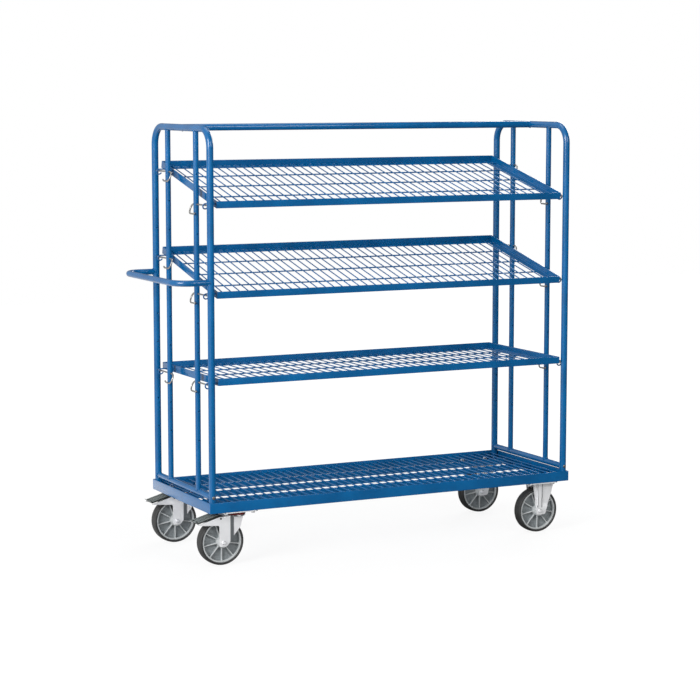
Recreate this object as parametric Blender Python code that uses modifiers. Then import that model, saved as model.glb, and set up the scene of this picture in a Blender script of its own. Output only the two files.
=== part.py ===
"""Shelf trolley: a wheeled base with two tubular end frames, a push handle and three wire shelves.

Run with: blender --background --python part.py

Metres, +Z up. X runs along the trolley (the push handle is at -X), Y from front to rear.
The origin is on the floor, in the middle of everything that the trolley covers.
Each shelf hangs by four bent hooks on four wire pins. A pin passes through the inner upright
and the hook, and its tip sits in the post, so a shelf can hang level or tilted on any row of holes.
"""

import math

import bmesh
import bpy
from mathutils import Matrix, Vector

# General clearances
touch_gap = 0.0003
weld_depth = 0.001
cut_overrun = 0.004
weld_distance = 0.00001

# Base frame, a ring of angle steel with its lying leg at the bottom
frame_length = 1.500
frame_depth = 0.555
frame_leg_height = 0.038
frame_leg_width = 0.038
frame_wall = 0.004
frame_underside = 0.198

# Deck of cross wires on three flat bars
bearer_height = 0.022
bearer_thickness = 0.005
deck_wire = 0.005
grid_pitch = 0.034

# End frames: bent hoops, inner uprights, foot tubes and the long tube between the hoops
post_radius = 0.0125
hoop_bend_radius = 0.068
hoop_bend_steps = 5
hoop_sides = 10
upright_radius = 0.010
upright_sides = 8
upright_spacing_share = 0.245
foot_tube_radius = 0.011
foot_tube_height = 0.056
foot_tube_sides = 8
tie_tube_radius = 0.0125

# Pin holes
first_hole_height = 0.244
hole_pitch = 0.1064
hole_rows = 10
above_last_hole = 0.1629
hole_sides = 6
post_hole_floor = 0.002

# Push handle
handle_height = 0.825
handle_reach = 0.110
handle_radius = 0.011
handle_bend_radius = 0.062
handle_bend_steps = 5
handle_sides = 10

# Bolts at the feet of the posts
foot_bolt_head_radius = 0.0075
foot_bolt_head_height = 0.004
foot_bolt_sides = 10

# Shelves: a ring of small angle steel, long wires, cross wires and four hooks
shelf_depth = 0.535
shelf_end_gap = 0.024
shelf_leg_height = 0.026
shelf_leg_width = 0.025
shelf_wall = 0.003
shelf_wire = 0.0045
shelf_long_wire = 0.005
wire_end_gap = 0.003
hook_inset = 0.042
hook_wire_radius = 0.0025
hook_eye_radius = 0.0095
hook_mouth_angle = math.radians(-20)
hook_steps = 7
shelf_rows = {"lower": (2, 2), "middle": (5, 6), "upper": (8, 9)}

# Wire pins
pin_radius = 0.003
pin_hole_clearance = 0.0003
pin_past_upright = 0.012
pin_bow_radius = 0.017
pin_bow_steps = 5
pin_tail_past_upright = 0.008
pin_tail_kick = 0.009
wire_sides = 6

# Wheels
wheel_radius = 0.085
tread_width = 0.042
tread_crown = 0.004
rim_radius = 0.0755
rim_width = 0.036
rim_ring_depth = 0.006
web_thickness = 0.006
hub_radius = 0.020
hub_width = 0.060
wheel_segments = 18
rib_count = 9
rib_thickness = 0.004
rib_depth = 0.010
bore_clearance = 0.0004

# Axle bolts
axle_radius = 0.006
axle_sides = 8
axle_head_radius = 0.0105
axle_head_height = 0.007

# Casters
caster_inset_y = 0.056
swivel_inset_x = 0.122
fixed_inset_x = 0.114
swivel_trail = 0.060
plate_length = 0.135
plate_width = 0.110
plate_thickness = 0.004
slot_radius = 0.0045
slot_length = 0.012
slot_spacing_x = 0.105
slot_spacing_y = 0.080
king_pin_radius = 0.008
king_pin_sides = 8
dust_ring_radius = 0.037
dust_ring_height = 0.0115
dust_ring_round = 0.003
ring_segments = 16
crown_radius = 0.036
crown_thickness = 0.005
arm_thickness = 0.0035
arm_foot_radius = 0.015
arm_round_steps = 6
arm_shoulder_drop = 0.040
wing_root_height = 0.064
wing_length = 0.100
wing_tip_height = 0.0715
wing_tip_drop = 0.006
arm_rear_edge = 0.016
arm_front_reach = 0.018
arm_step_at = 0.025
arm_step_lap = 0.002
arm_step_depth = 0.0032
fixed_foot_radius = 0.018
fixed_arm_top_half = 0.046
fixed_channel_top_half = 0.027

# Brake pedals
pedal_pivot_back = 0.011
pedal_pivot_height = 0.0885
pedal_pivot_radius = 0.0025
pedal_length = 0.088
pedal_thickness = 0.006
pedal_side_gap = 0.0006
pedal_rise = 0.014
pedal_rib_count = 7
pedal_rib_height = 0.002
pedal_rib_width = 0.004
pedal_lug_length = 0.016
pedal_lug_drop = 0.002
pedal_root_gap = 0.006
pedal_bar_width = 0.004
pedal_lip = 0.002
pedal_lip_height = 0.007

# Places that follow from the sizes above
handle_outside = handle_reach + handle_radius
frame_left = handle_outside / 2 - frame_length / 2
frame_right = frame_left + frame_length
post_inset = frame_wall + touch_gap + post_radius
post_y = frame_depth / 2 - post_inset
post_x = {"left": frame_left + post_inset, "right": frame_right - post_inset}
post_foot = frame_underside + frame_wall + touch_gap
upright_y = post_y - 2 * post_y * upright_spacing_share
hoop_top = frame_underside + first_hole_height + hole_pitch * (hole_rows - 1) + above_last_hole
foot_tube_z = frame_underside + foot_tube_height
handle_z = frame_underside + handle_height
hole_radius = (pin_radius + pin_hole_clearance) / math.cos(math.pi / hole_sides)
post_cope_radius = (post_radius + touch_gap) / math.cos(math.pi / hoop_sides)
foot_cope_radius = (foot_tube_radius + touch_gap) / math.cos(math.pi / foot_tube_sides)
king_pin_bore = (king_pin_radius + touch_gap) / math.cos(math.pi / king_pin_sides)
shelf_length = frame_length - 2 * post_inset - 2 * shelf_end_gap
hook_span = shelf_depth - 2 * hook_inset
hook_seat = pin_radius + hook_wire_radius + touch_gap
arm_inside = hub_width / 2 + touch_gap
arm_outside = arm_inside + arm_thickness
plate_underside = frame_underside - touch_gap - plate_thickness
crown_top = plate_underside - touch_gap - dust_ring_height - touch_gap
sides = {"front": -1, "rear": 1}


def clear_scene():
    """Empty the scene of whatever it opened with."""
    for thing in list(bpy.data.objects):
        bpy.data.objects.remove(thing, do_unlink=True)


def finish(name, colour, roughness, metallic):
    """A material with one colour, roughness and metallic value."""
    material = bpy.data.materials.new(name)
    material.use_nodes = True
    shader = material.node_tree.nodes["Principled BSDF"]
    shader.inputs["Base Color"].default_value = (*colour, 1.0)
    shader.inputs["Roughness"].default_value = roughness
    shader.inputs["Metallic"].default_value = metallic
    return material


def new_collection(name):
    """A collection in the scene."""
    collection = bpy.data.collections.new(name)
    bpy.context.scene.collection.children.link(collection)
    return collection


clear_scene()
parts = new_collection("shelf_trolley")
cutters = new_collection("cutters")
blue_paint = finish("blue_paint", (0.0, 0.125, 0.38), 0.35, 0.0)
zinc = finish("zinc", (0.72, 0.73, 0.75), 0.35, 1.0)
tyre_rubber = finish("tyre_rubber", (0.035, 0.036, 0.038), 0.7, 0.0)
grey_plastic = finish("grey_plastic", (0.27, 0.28, 0.29), 0.5, 0.0)
black_steel = finish("black_steel", (0.03, 0.03, 0.03), 0.5, 0.2)
red_plastic = finish("red_plastic", (0.16, 0.02, 0.02), 0.5, 0.0)


def mesh_from(shape, name):
    """Turn a bmesh into a mesh with outward faces."""
    bmesh.ops.recalc_face_normals(shape, faces=shape.faces)
    mesh = bpy.data.meshes.new(name)
    shape.to_mesh(mesh)
    shape.free()
    return mesh


def add_box(shape, low, high):
    """Add a box between two corners to a bmesh."""
    made = bmesh.ops.create_cube(shape, size=1.0)
    for corner in made["verts"]:
        corner.co = [top if at > 0 else bottom for at, bottom, top in zip(corner.co, low, high)]


def add_rod(shape, start, end, radius, side_count, turn=0.0):
    """Add a round bar between two points to a bmesh, its facets turned by an angle about its axis."""
    start = Vector(start)
    end = Vector(end)
    along = end - start
    place = Matrix.Translation((start + end) / 2) @ along.to_track_quat("Z", "Y").to_matrix().to_4x4()
    place = place @ Matrix.Rotation(turn, 4, "Z")
    bmesh.ops.create_cone(
        shape,
        cap_ends=True,
        segments=side_count,
        radius1=radius,
        radius2=radius,
        depth=along.length,
        matrix=place,
    )


def box_mesh(name, low, high):
    """A box as a mesh."""
    shape = bmesh.new()
    add_box(shape, low, high)
    return mesh_from(shape, name)


def rod_mesh(name, start, end, radius, side_count, turn=0.0):
    """A round bar as a mesh."""
    shape = bmesh.new()
    add_rod(shape, start, end, radius, side_count, turn)
    return mesh_from(shape, name)


def piece(name, mesh, material, location=(0, 0, 0), parent=None):
    """A named sub-part."""
    thing = bpy.data.objects.new(name, mesh)
    parts.objects.link(thing)
    thing.location = location
    thing.parent = parent
    if not mesh.materials:
        mesh.materials.append(material)
    return thing


def boolean(thing, tool_mesh, operation):
    """Cut the tool's mesh out of a piece, or join it to the piece. The tool moves with the piece."""
    tool = bpy.data.objects.new(thing.name + "_" + operation.lower(), tool_mesh)
    cutters.objects.link(tool)
    tool.hide_render = True
    tool.display_type = "WIRE"
    tool.parent = thing
    change = thing.modifiers.new(operation.title(), "BOOLEAN")
    change.operation = operation
    change.solver = "EXACT"
    change.object = tool


def cut(thing, tool_mesh):
    """Cut a mesh out of a piece."""
    boolean(thing, tool_mesh, "DIFFERENCE")


def join(thing, tool_mesh):
    """Join a mesh to a piece as one body."""
    boolean(thing, tool_mesh, "UNION")


def evaluated_mesh(thing):
    """The mesh of an object with its modifiers applied."""
    depsgraph = bpy.context.evaluated_depsgraph_get()
    return bpy.data.meshes.new_from_object(thing.evaluated_get(depsgraph))


def finished_mesh(name, mesh, material, changes):
    """Apply Boolean changes, given as pairs of operation and mesh, and return one mesh to share."""
    draft = piece(name + "_draft", mesh, material)
    for operation, tool_mesh in changes:
        boolean(draft, tool_mesh, operation)
    finished = evaluated_mesh(draft)
    finished.name = name
    for tool in list(draft.children):
        bpy.data.objects.remove(tool, do_unlink=True)
    bpy.data.objects.remove(draft, do_unlink=True)
    return finished


def curve_to_mesh(name, path):
    """Convert a curve to a closed mesh."""
    guide = bpy.data.objects.new(name, path)
    cutters.objects.link(guide)
    rough = evaluated_mesh(guide)
    bpy.data.objects.remove(guide, do_unlink=True)
    shape = bmesh.new()
    shape.from_mesh(rough)
    bmesh.ops.remove_doubles(shape, verts=shape.verts, dist=weld_distance)
    return mesh_from(shape, name)


def bar_mesh(name, points, radius, side_count, turn=0.0):
    """A round bar that follows a list of points."""
    path = bpy.data.curves.new(name, "CURVE")
    path.dimensions = "3D"
    path.bevel_depth = radius
    path.bevel_resolution = (side_count - 4) // 2
    path.use_fill_caps = True
    run = path.splines.new("POLY")
    run.points.add(len(points) - 1)
    for spot, place in zip(run.points, points):
        spot.co = (*place, 1.0)
        spot.tilt = turn
    return curve_to_mesh(name, path)


def plate_mesh(name, outlines, thickness):
    """A flat plate standing in the XZ plane. The first outline is its edge, the others are its holes."""
    path = bpy.data.curves.new(name, "CURVE")
    path.dimensions = "2D"
    path.fill_mode = "BOTH"
    path.extrude = thickness / 2
    for outline in outlines:
        run = path.splines.new("POLY")
        run.points.add(len(outline) - 1)
        run.use_cyclic_u = True
        for spot, (across, up) in zip(run.points, outline):
            spot.co = (across, up, 0.0, 1.0)
    mesh = curve_to_mesh(name, path)
    mesh.transform(Matrix.Rotation(math.radians(90), 4, "X"))
    return mesh


def arc(centre, radius, start, stop, steps):
    """Points along an arc in a plane, from one angle to another."""
    points = []
    for step in range(steps + 1):
        angle = start + (stop - start) * step / steps
        points.append((centre[0] + radius * math.cos(angle), centre[1] + radius * math.sin(angle)))
    return points


def turned_mesh(name, profile, segments):
    """A turned shape about the Y axis, from a closed profile of radius and Y.

    The first of its corners points straight down, so a wheel stands on a corner of its outline.
    """
    shape = bmesh.new()
    corners = [shape.verts.new((radius, 0.0, along)) for radius, along in profile]
    for here, there in zip(corners, corners[1:] + corners[:1]):
        shape.edges.new((here, there))
    mesh = bpy.data.meshes.new(name)
    shape.to_mesh(mesh)
    shape.free()
    draft = bpy.data.objects.new(name, mesh)
    cutters.objects.link(draft)
    screw = draft.modifiers.new("Screw", "SCREW")
    screw.axis = "Z"
    screw.steps = segments
    screw.render_steps = segments
    screw.use_merge_vertices = True
    screw.merge_threshold = weld_distance
    turned = evaluated_mesh(draft)
    bpy.data.objects.remove(draft, do_unlink=True)
    shape = bmesh.new()
    shape.from_mesh(turned)
    bmesh.ops.remove_doubles(shape, verts=shape.verts, dist=weld_distance)
    finished = mesh_from(shape, name)
    finished.transform(Matrix.Rotation(math.radians(90), 4, "X"))
    finished.transform(Matrix.Rotation(math.radians(90), 4, "Y"))
    return finished


def angle_ring(name, length, depth, leg_height, leg_width, wall, welds):
    """A ring of angle steel: a box less the tray inside its standing legs and the opening in its floor.

    Its origin is in the middle of its underside. Whatever is welded to it is joined last.
    """
    body = box_mesh(name, (-length / 2, -depth / 2, 0), (length / 2, depth / 2, leg_height))
    tray = box_mesh(
        name + "_tray",
        (-length / 2 + wall, -depth / 2 + wall, wall),
        (length / 2 - wall, depth / 2 - wall, leg_height + cut_overrun),
    )
    opening = box_mesh(
        name + "_opening",
        (-length / 2 + leg_width, -depth / 2 + leg_width, -cut_overrun),
        (length / 2 - leg_width, depth / 2 - leg_width, wall + cut_overrun),
    )
    changes = [("DIFFERENCE", tray), ("DIFFERENCE", opening)]
    changes += [("UNION", weld) for weld in welds]
    return finished_mesh(name, body, blue_paint, changes)


def grid_mesh(name, bar_half_length, bar_thickness, bar_height, span, reach, thickness):
    """A grid: one long bar with square cross wires welded on it at an even pitch.

    Its origin is in the middle, where the bar's top meets the undersides of the cross wires.
    """
    bar = box_mesh(
        name,
        (-bar_half_length, -bar_thickness / 2, -bar_height),
        (bar_half_length, bar_thickness / 2, 0),
    )
    gaps = round(span / grid_pitch)
    wires = bmesh.new()
    for number in range(gaps + 1):
        middle = span * number / gaps - span / 2
        add_box(wires, (middle - thickness / 2, -reach, 0), (middle + thickness / 2, reach, thickness))
    return finished_mesh(name, bar, blue_paint, [("UNION", mesh_from(wires, name + "_wires"))])


def corner_plates():
    """The plates at the frame's corners that the caster plates are bolted to, as loose bodies."""
    shape = bmesh.new()
    out = frame_wall / 2
    in_y = caster_inset_y + plate_width / 2
    for x_sign, inset_x in ((-1, swivel_inset_x), (1, fixed_inset_x)):
        in_x = inset_x + plate_length / 2
        for y_sign in sides.values():
            corners_x = sorted((x_sign * (frame_length / 2 - out), x_sign * (frame_length / 2 - in_x)))
            corners_y = sorted((y_sign * (frame_depth / 2 - out), y_sign * (frame_depth / 2 - in_y)))
            low = (corners_x[0], corners_y[0], 0)
            high = (corners_x[1], corners_y[1], frame_wall)
            add_box(shape, low, high)
    return mesh_from(shape, "corner_plates")


def make_base():
    """The base frame, the flat bars on its lying legs and the deck wires on the bars."""
    centre_x = (frame_left + frame_right) / 2
    ring = angle_ring(
        "base_frame",
        frame_length,
        frame_depth,
        frame_leg_height,
        frame_leg_width,
        frame_wall,
        [corner_plates()],
    )
    piece("base_frame", ring, blue_paint, (centre_x, 0, frame_underside))
    bearer_low = frame_underside + frame_wall + touch_gap
    bearer_half = frame_length / 2 - frame_wall - touch_gap
    bearer_step = (frame_depth - 2 * frame_wall) / 4
    bar = box_mesh(
        "deck_bearer",
        (-bearer_half, -bearer_thickness / 2, 0),
        (bearer_half, bearer_thickness / 2, bearer_height),
    )
    for side_name, side in sides.items():
        piece("deck_bearer_" + side_name, bar, blue_paint, (centre_x, side * bearer_step, bearer_low))
    deck = grid_mesh(
        "deck_grid",
        bearer_half,
        bearer_thickness,
        bearer_height + touch_gap,
        frame_length - 2 * (post_inset + post_radius + deck_wire),
        frame_depth / 2 - frame_wall - touch_gap,
        deck_wire,
    )
    piece("deck_grid", deck, blue_paint, (centre_x, 0, bearer_low + bearer_height + touch_gap))


def hoop_points():
    """The centre line of an end hoop: up the front post, over the top and down the rear post."""
    bend_y = post_y - hoop_bend_radius
    bend_z = hoop_top - hoop_bend_radius
    line = [(-post_y, post_foot)]
    line += arc((-bend_y, bend_z), hoop_bend_radius, math.pi, math.pi / 2, hoop_bend_steps)
    line += arc((bend_y, bend_z), hoop_bend_radius, math.pi / 2, 0.0, hoop_bend_steps)
    line.append((post_y, post_foot))
    return line


def hole_height(row):
    """The height of a row of pin holes."""
    return frame_underside + first_hole_height + hole_pitch * row


def make_end_frame(end):
    """One end frame: its hoop, two uprights, the foot tube and the two foot bolts."""
    x = post_x[end]
    half_facet = math.pi / hoop_sides
    hoop = piece(
        "end_hoop_" + end,
        bar_mesh("end_hoop_" + end, [(x, y, z) for y, z in hoop_points()], post_radius, hoop_sides),
        blue_paint,
    )
    post_drill = bmesh.new()
    for side in sides.values():
        for row in range(hole_rows):
            z = hole_height(row)
            outer = (x, side * (post_y + post_hole_floor), z)
            inner = (x, side * (post_y - post_radius - cut_overrun), z)
            add_rod(post_drill, outer, inner, hole_radius, hole_sides, math.pi / 2)
    cut(hoop, mesh_from(post_drill, "post_holes_" + end))

    foot_tube = piece(
        "foot_tube_" + end,
        rod_mesh(
            "foot_tube_" + end,
            (x, -post_y, foot_tube_z),
            (x, post_y, foot_tube_z),
            foot_tube_radius,
            foot_tube_sides,
            math.pi / foot_tube_sides,
        ),
        blue_paint,
    )
    cope = bmesh.new()
    for side in sides.values():
        bottom = (x, side * post_y, foot_tube_z - foot_tube_radius - cut_overrun)
        top = (x, side * post_y, foot_tube_z + foot_tube_radius + cut_overrun)
        add_rod(cope, bottom, top, post_cope_radius, hoop_sides, half_facet)
    cut(foot_tube, mesh_from(cope, "foot_cope_" + end))

    for side_name, side in sides.items():
        y = side * upright_y
        name = "upright_" + end + "_" + side_name
        upright = piece(
            name,
            rod_mesh(
                name,
                (x, y, foot_tube_z),
                (x, y, hoop_top),
                upright_radius,
                upright_sides,
                math.pi / upright_sides,
            ),
            blue_paint,
        )
        ends = bmesh.new()
        reach = upright_radius + cut_overrun
        add_rod(
            ends,
            (x, y - reach, foot_tube_z),
            (x, y + reach, foot_tube_z),
            foot_cope_radius,
            foot_tube_sides,
            math.pi / foot_tube_sides,
        )
        add_rod(
            ends,
            (x, y - reach, hoop_top),
            (x, y + reach, hoop_top),
            post_cope_radius,
            hoop_sides,
            half_facet,
        )
        for row in range(hole_rows):
            z = hole_height(row)
            add_rod(ends, (x, y - reach, z), (x, y + reach, z), hole_radius, hole_sides, math.pi / 2)
        cut(upright, mesh_from(ends, name + "_ends_and_holes"))

        face_y = side * (post_y + post_radius + touch_gap)
        head_y = face_y + side * foot_bolt_head_height
        name = "foot_bolt_" + end + "_" + side_name
        piece(
            name,
            rod_mesh(name, (0, 0, 0), (0, head_y - face_y, 0), foot_bolt_head_radius, foot_bolt_sides),
            zinc,
            (x, face_y, foot_tube_z),
        )


def make_tie_tube():
    """The long tube at the top, coped to the middles of both hoops."""
    tube = piece(
        "tie_tube",
        rod_mesh(
            "tie_tube",
            (post_x["left"], 0, hoop_top),
            (post_x["right"], 0, hoop_top),
            tie_tube_radius,
            hoop_sides,
        ),
        blue_paint,
    )
    cope = bmesh.new()
    reach = tie_tube_radius + cut_overrun
    for x in post_x.values():
        add_rod(
            cope,
            (x, -reach, hoop_top),
            (x, reach, hoop_top),
            post_cope_radius,
            hoop_sides,
            math.pi / hoop_sides,
        )
    cut(tube, mesh_from(cope, "tie_cope"))


def make_handle():
    """The push handle: a tube bent to a U that stands out from the posts of the left end frame."""
    far_x = frame_left - handle_reach
    near_x = post_x["left"]
    bend_x = far_x + handle_bend_radius
    bend_y = post_y - handle_bend_radius
    line = [(near_x, -post_y)]
    line += arc((bend_x, -bend_y), handle_bend_radius, 1.5 * math.pi, math.pi, handle_bend_steps)
    line += arc((bend_x, bend_y), handle_bend_radius, math.pi, math.pi / 2, handle_bend_steps)
    line.append((near_x, post_y))
    handle = piece(
        "push_handle",
        bar_mesh("push_handle", [(x, y, handle_z) for x, y in line], handle_radius, handle_sides),
        blue_paint,
    )
    cope = bmesh.new()
    reach = handle_radius + cut_overrun
    for side in sides.values():
        add_rod(
            cope,
            (near_x, side * post_y, handle_z - reach),
            (near_x, side * post_y, handle_z + reach),
            post_cope_radius,
            hoop_sides,
            math.pi / hoop_sides,
        )
    cut(handle, mesh_from(cope, "handle_cope"))


def hook_points(end_sign, y):
    """A shelf hook: out from the end of the shelf, over the pin and round under it to an open tip."""
    eye_x = shelf_length / 2 + shelf_end_gap
    eye_z = hook_seat - hook_eye_radius
    line = [(shelf_length / 2 - shelf_wall / 2, hook_seat)]
    for x, z in arc((0.0, eye_z), hook_eye_radius, math.pi / 2, -math.pi - hook_mouth_angle, hook_steps):
        line.append((eye_x + x, z))
    return [(end_sign * x, y, z) for x, z in line]


def add_mesh(shape, mesh):
    """Copy a mesh into a bmesh and drop it."""
    shape.from_mesh(mesh)
    bpy.data.meshes.remove(mesh)


def shelf_frame_mesh():
    """A shelf's ring of angle steel with its two outer long wires and its four hooks."""
    welds = bmesh.new()
    long_top = shelf_wall - touch_gap
    long_half = shelf_length / 2 - shelf_leg_width + weld_depth
    for side in sides.values():
        for end_sign in (-1, 1):
            points = hook_points(end_sign, side * hook_span / 2)
            add_mesh(welds, bar_mesh("hook", points, hook_wire_radius, wire_sides))
        middle = side * (shelf_depth - 2 * shelf_wall) / 4
        add_box(
            welds,
            (-long_half, middle - shelf_long_wire / 2, long_top - shelf_long_wire),
            (long_half, middle + shelf_long_wire / 2, long_top),
        )
    return angle_ring(
        "shelf_frame",
        shelf_length,
        shelf_depth,
        shelf_leg_height,
        shelf_leg_width,
        shelf_wall,
        [mesh_from(welds, "shelf_welds")],
    )


def make_shelves():
    """The shelves. Each is made level, and an empty sets how it hangs on its pins."""
    ring = shelf_frame_mesh()
    grid = grid_mesh(
        "shelf_grid",
        shelf_length / 2 - shelf_leg_width - touch_gap,
        shelf_long_wire,
        shelf_long_wire,
        shelf_length - 2 * shelf_leg_width - grid_pitch,
        shelf_depth / 2 - shelf_wall - wire_end_gap,
        shelf_wire,
    )
    for level, (front_row, rear_row) in shelf_rows.items():
        tilt = math.asin(hole_pitch * (rear_row - front_row) / hook_span)
        seat_z = (hole_height(front_row) + hole_height(rear_row)) / 2 + hook_seat
        hanger = bpy.data.objects.new("shelf_" + level, None)
        parts.objects.link(hanger)
        hanger.location = (
            (frame_left + frame_right) / 2,
            math.sin(tilt) * hook_seat,
            seat_z - math.cos(tilt) * hook_seat,
        )
        hanger.rotation_euler.x = tilt
        piece("shelf_frame_" + level, ring, blue_paint, parent=hanger)
        piece("shelf_grid_" + level, grid, blue_paint, (0, 0, shelf_wall + touch_gap), hanger)


def pin_mesh(name, side):
    """A wire pin from its tip in the post, through the upright, round a bow and back past the upright.

    Its origin is where its axis meets the post's axis. Inboard is towards the middle of the trolley.
    """
    inboard = -side
    bow_start = post_y - upright_y + upright_radius + pin_past_upright
    tail_end = post_y - upright_y - upright_radius - pin_tail_past_upright
    side_shift = upright_radius + pin_radius + touch_gap
    line = [(0.0, 0.0, 0.0), (0.0, bow_start, 0.0)]
    for step in range(1, pin_bow_steps + 1):
        angle = math.pi * step / pin_bow_steps
        shift = side_shift * (1 - math.cos(angle)) / 2
        along = bow_start + pin_bow_radius * math.sin(angle)
        drop = pin_bow_radius * (1 - math.cos(angle))
        line.append((-shift, along, -drop))
    tail_drop = 2 * pin_bow_radius
    line.append((-side_shift, tail_end + pin_tail_kick, -tail_drop))
    line.append((-side_shift, tail_end, -tail_drop + pin_tail_kick / 2))
    points = [(x, inboard * along, z) for x, along, z in line]
    return bar_mesh(name, points, pin_radius, wire_sides)


def make_pins():
    """Four pins for each shelf, one in each end frame at the front and at the rear."""
    for side_name, side in sides.items():
        mesh = pin_mesh("shelf_pin_" + side_name, side)
        for level, rows in shelf_rows.items():
            row = rows[0] if side_name == "front" else rows[1]
            for end, x in post_x.items():
                name = "_".join(("shelf_pin", level, end, side_name))
                piece(name, mesh, zinc, (x, side * post_y, hole_height(row)))


def tyre_mesh():
    """The tyre, with a crowned tread."""
    half = tread_width / 2
    inner = rim_radius + touch_gap
    rim_half = rim_width / 2
    profile = [
        (inner, rim_half),
        (wheel_radius - tread_crown, half),
        (wheel_radius, half - 2 * tread_crown),
        (wheel_radius, -half + 2 * tread_crown),
        (wheel_radius - tread_crown, -half),
        (inner, -rim_half),
    ]
    return turned_mesh("tyre", profile, wheel_segments)


def rim_mesh():
    """The wheel centre: hub, web and outer ring in one moulding, with ribs on both faces."""
    half_ring = rim_width / 2
    half_web = web_thickness / 2
    half_hub = hub_width / 2
    bore = axle_radius + bore_clearance
    inner_ring = rim_radius - rim_ring_depth
    upper = [
        (bore, half_hub),
        (hub_radius, half_hub),
        (hub_radius, half_web),
        (inner_ring, half_web),
        (inner_ring, half_ring),
        (rim_radius, half_ring),
    ]
    profile = upper + [(radius, -along) for radius, along in reversed(upper)]
    ribs = bmesh.new()
    first_facet = math.pi / 2 + math.pi / wheel_segments
    for number in range(rib_count):
        turn = Matrix.Rotation(2 * math.pi * number / rib_count + first_facet, 4, "Y")
        rib = bmesh.new()
        add_box(
            rib,
            (hub_radius - weld_depth, -half_web - rib_depth, -rib_thickness / 2),
            (inner_ring + weld_depth, half_web + rib_depth, rib_thickness / 2),
        )
        bmesh.ops.transform(rib, matrix=turn, verts=rib.verts)
        add_mesh(ribs, mesh_from(rib, "rib"))
    body = turned_mesh("rim", profile, wheel_segments)
    return finished_mesh("rim", body, grey_plastic, [("UNION", mesh_from(ribs, "ribs"))])


def axle_mesh():
    """An axle bolt through both arms, with its head and its nut."""
    outside = arm_outside + touch_gap
    shape = bmesh.new()
    reach = outside + axle_head_height / 2
    add_rod(shape, (0, -reach, 0), (0, reach, 0), axle_radius, axle_sides)
    heads = bmesh.new()
    for side in sides.values():
        add_rod(
            heads,
            (0, side * outside, 0),
            (0, side * (outside + axle_head_height), 0),
            axle_head_radius,
            hole_sides,
        )
    return finished_mesh("axle", mesh_from(shape, "axle"), zinc, [("UNION", mesh_from(heads, "axle_ends"))])


def round_outline(centre, radius, side_count):
    """A closed round outline."""
    return arc(centre, radius, 0.0, 2 * math.pi * (side_count - 1) / side_count, side_count - 1)


def plate_slots():
    """The four slotted bolt holes of a caster plate, as loose bodies to cut with."""
    shape = bmesh.new()
    for x_sign in (-1, 1):
        for y_sign in (-1, 1):
            x = x_sign * slot_spacing_x / 2
            y = y_sign * slot_spacing_y / 2
            add_box(
                shape,
                (x - slot_length / 2, y - slot_radius, -cut_overrun - plate_thickness),
                (x + slot_length / 2, y + slot_radius, cut_overrun),
            )
    return mesh_from(shape, "plate_slots")


def swivel_plate_mesh():
    """The top plate of a swivel caster with its king pin.

    Its origin is on the swivel axis, at the plate's top.
    """
    body = box_mesh(
        "caster_plate",
        (-plate_length / 2, -plate_width / 2, -plate_thickness),
        (plate_length / 2, plate_width / 2, 0),
    )
    pin_end = -plate_thickness - 2 * touch_gap - dust_ring_height - crown_thickness
    pin = rod_mesh("king_pin", (0, 0, -plate_thickness / 2), (0, 0, pin_end), king_pin_radius, king_pin_sides)
    return finished_mesh("caster_plate", body, zinc, [("DIFFERENCE", plate_slots()), ("UNION", pin)])


def dust_ring_mesh():
    """The dust ring over the swivel bearing. Its origin is on the swivel axis, at the ring's top."""
    profile = [
        (king_pin_bore, 0.0),
        (dust_ring_radius - dust_ring_round, 0.0),
        (dust_ring_radius, -dust_ring_round),
        (dust_ring_radius, -dust_ring_height),
        (king_pin_bore, -dust_ring_height),
    ]
    mesh = turned_mesh("dust_ring", profile, ring_segments)
    mesh.transform(Matrix.Rotation(math.radians(-90), 4, "X"))
    return mesh


def arm_plates(outline, holes, foot, inset=0.0):
    """Two equal plates, one on each side of the wheel, as loose bodies, stepped in towards the wheel.

    The foot is where the axle goes.
    """
    shape = bmesh.new()
    for side in sides.values():
        plate = plate_mesh("arm", [outline] + holes, arm_thickness)
        middle = side * (arm_inside + arm_thickness / 2 - inset)
        plate.transform(Matrix.Translation((foot[0], middle, foot[1])))
        add_mesh(shape, plate)
    return mesh_from(shape, "arms")


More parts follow.
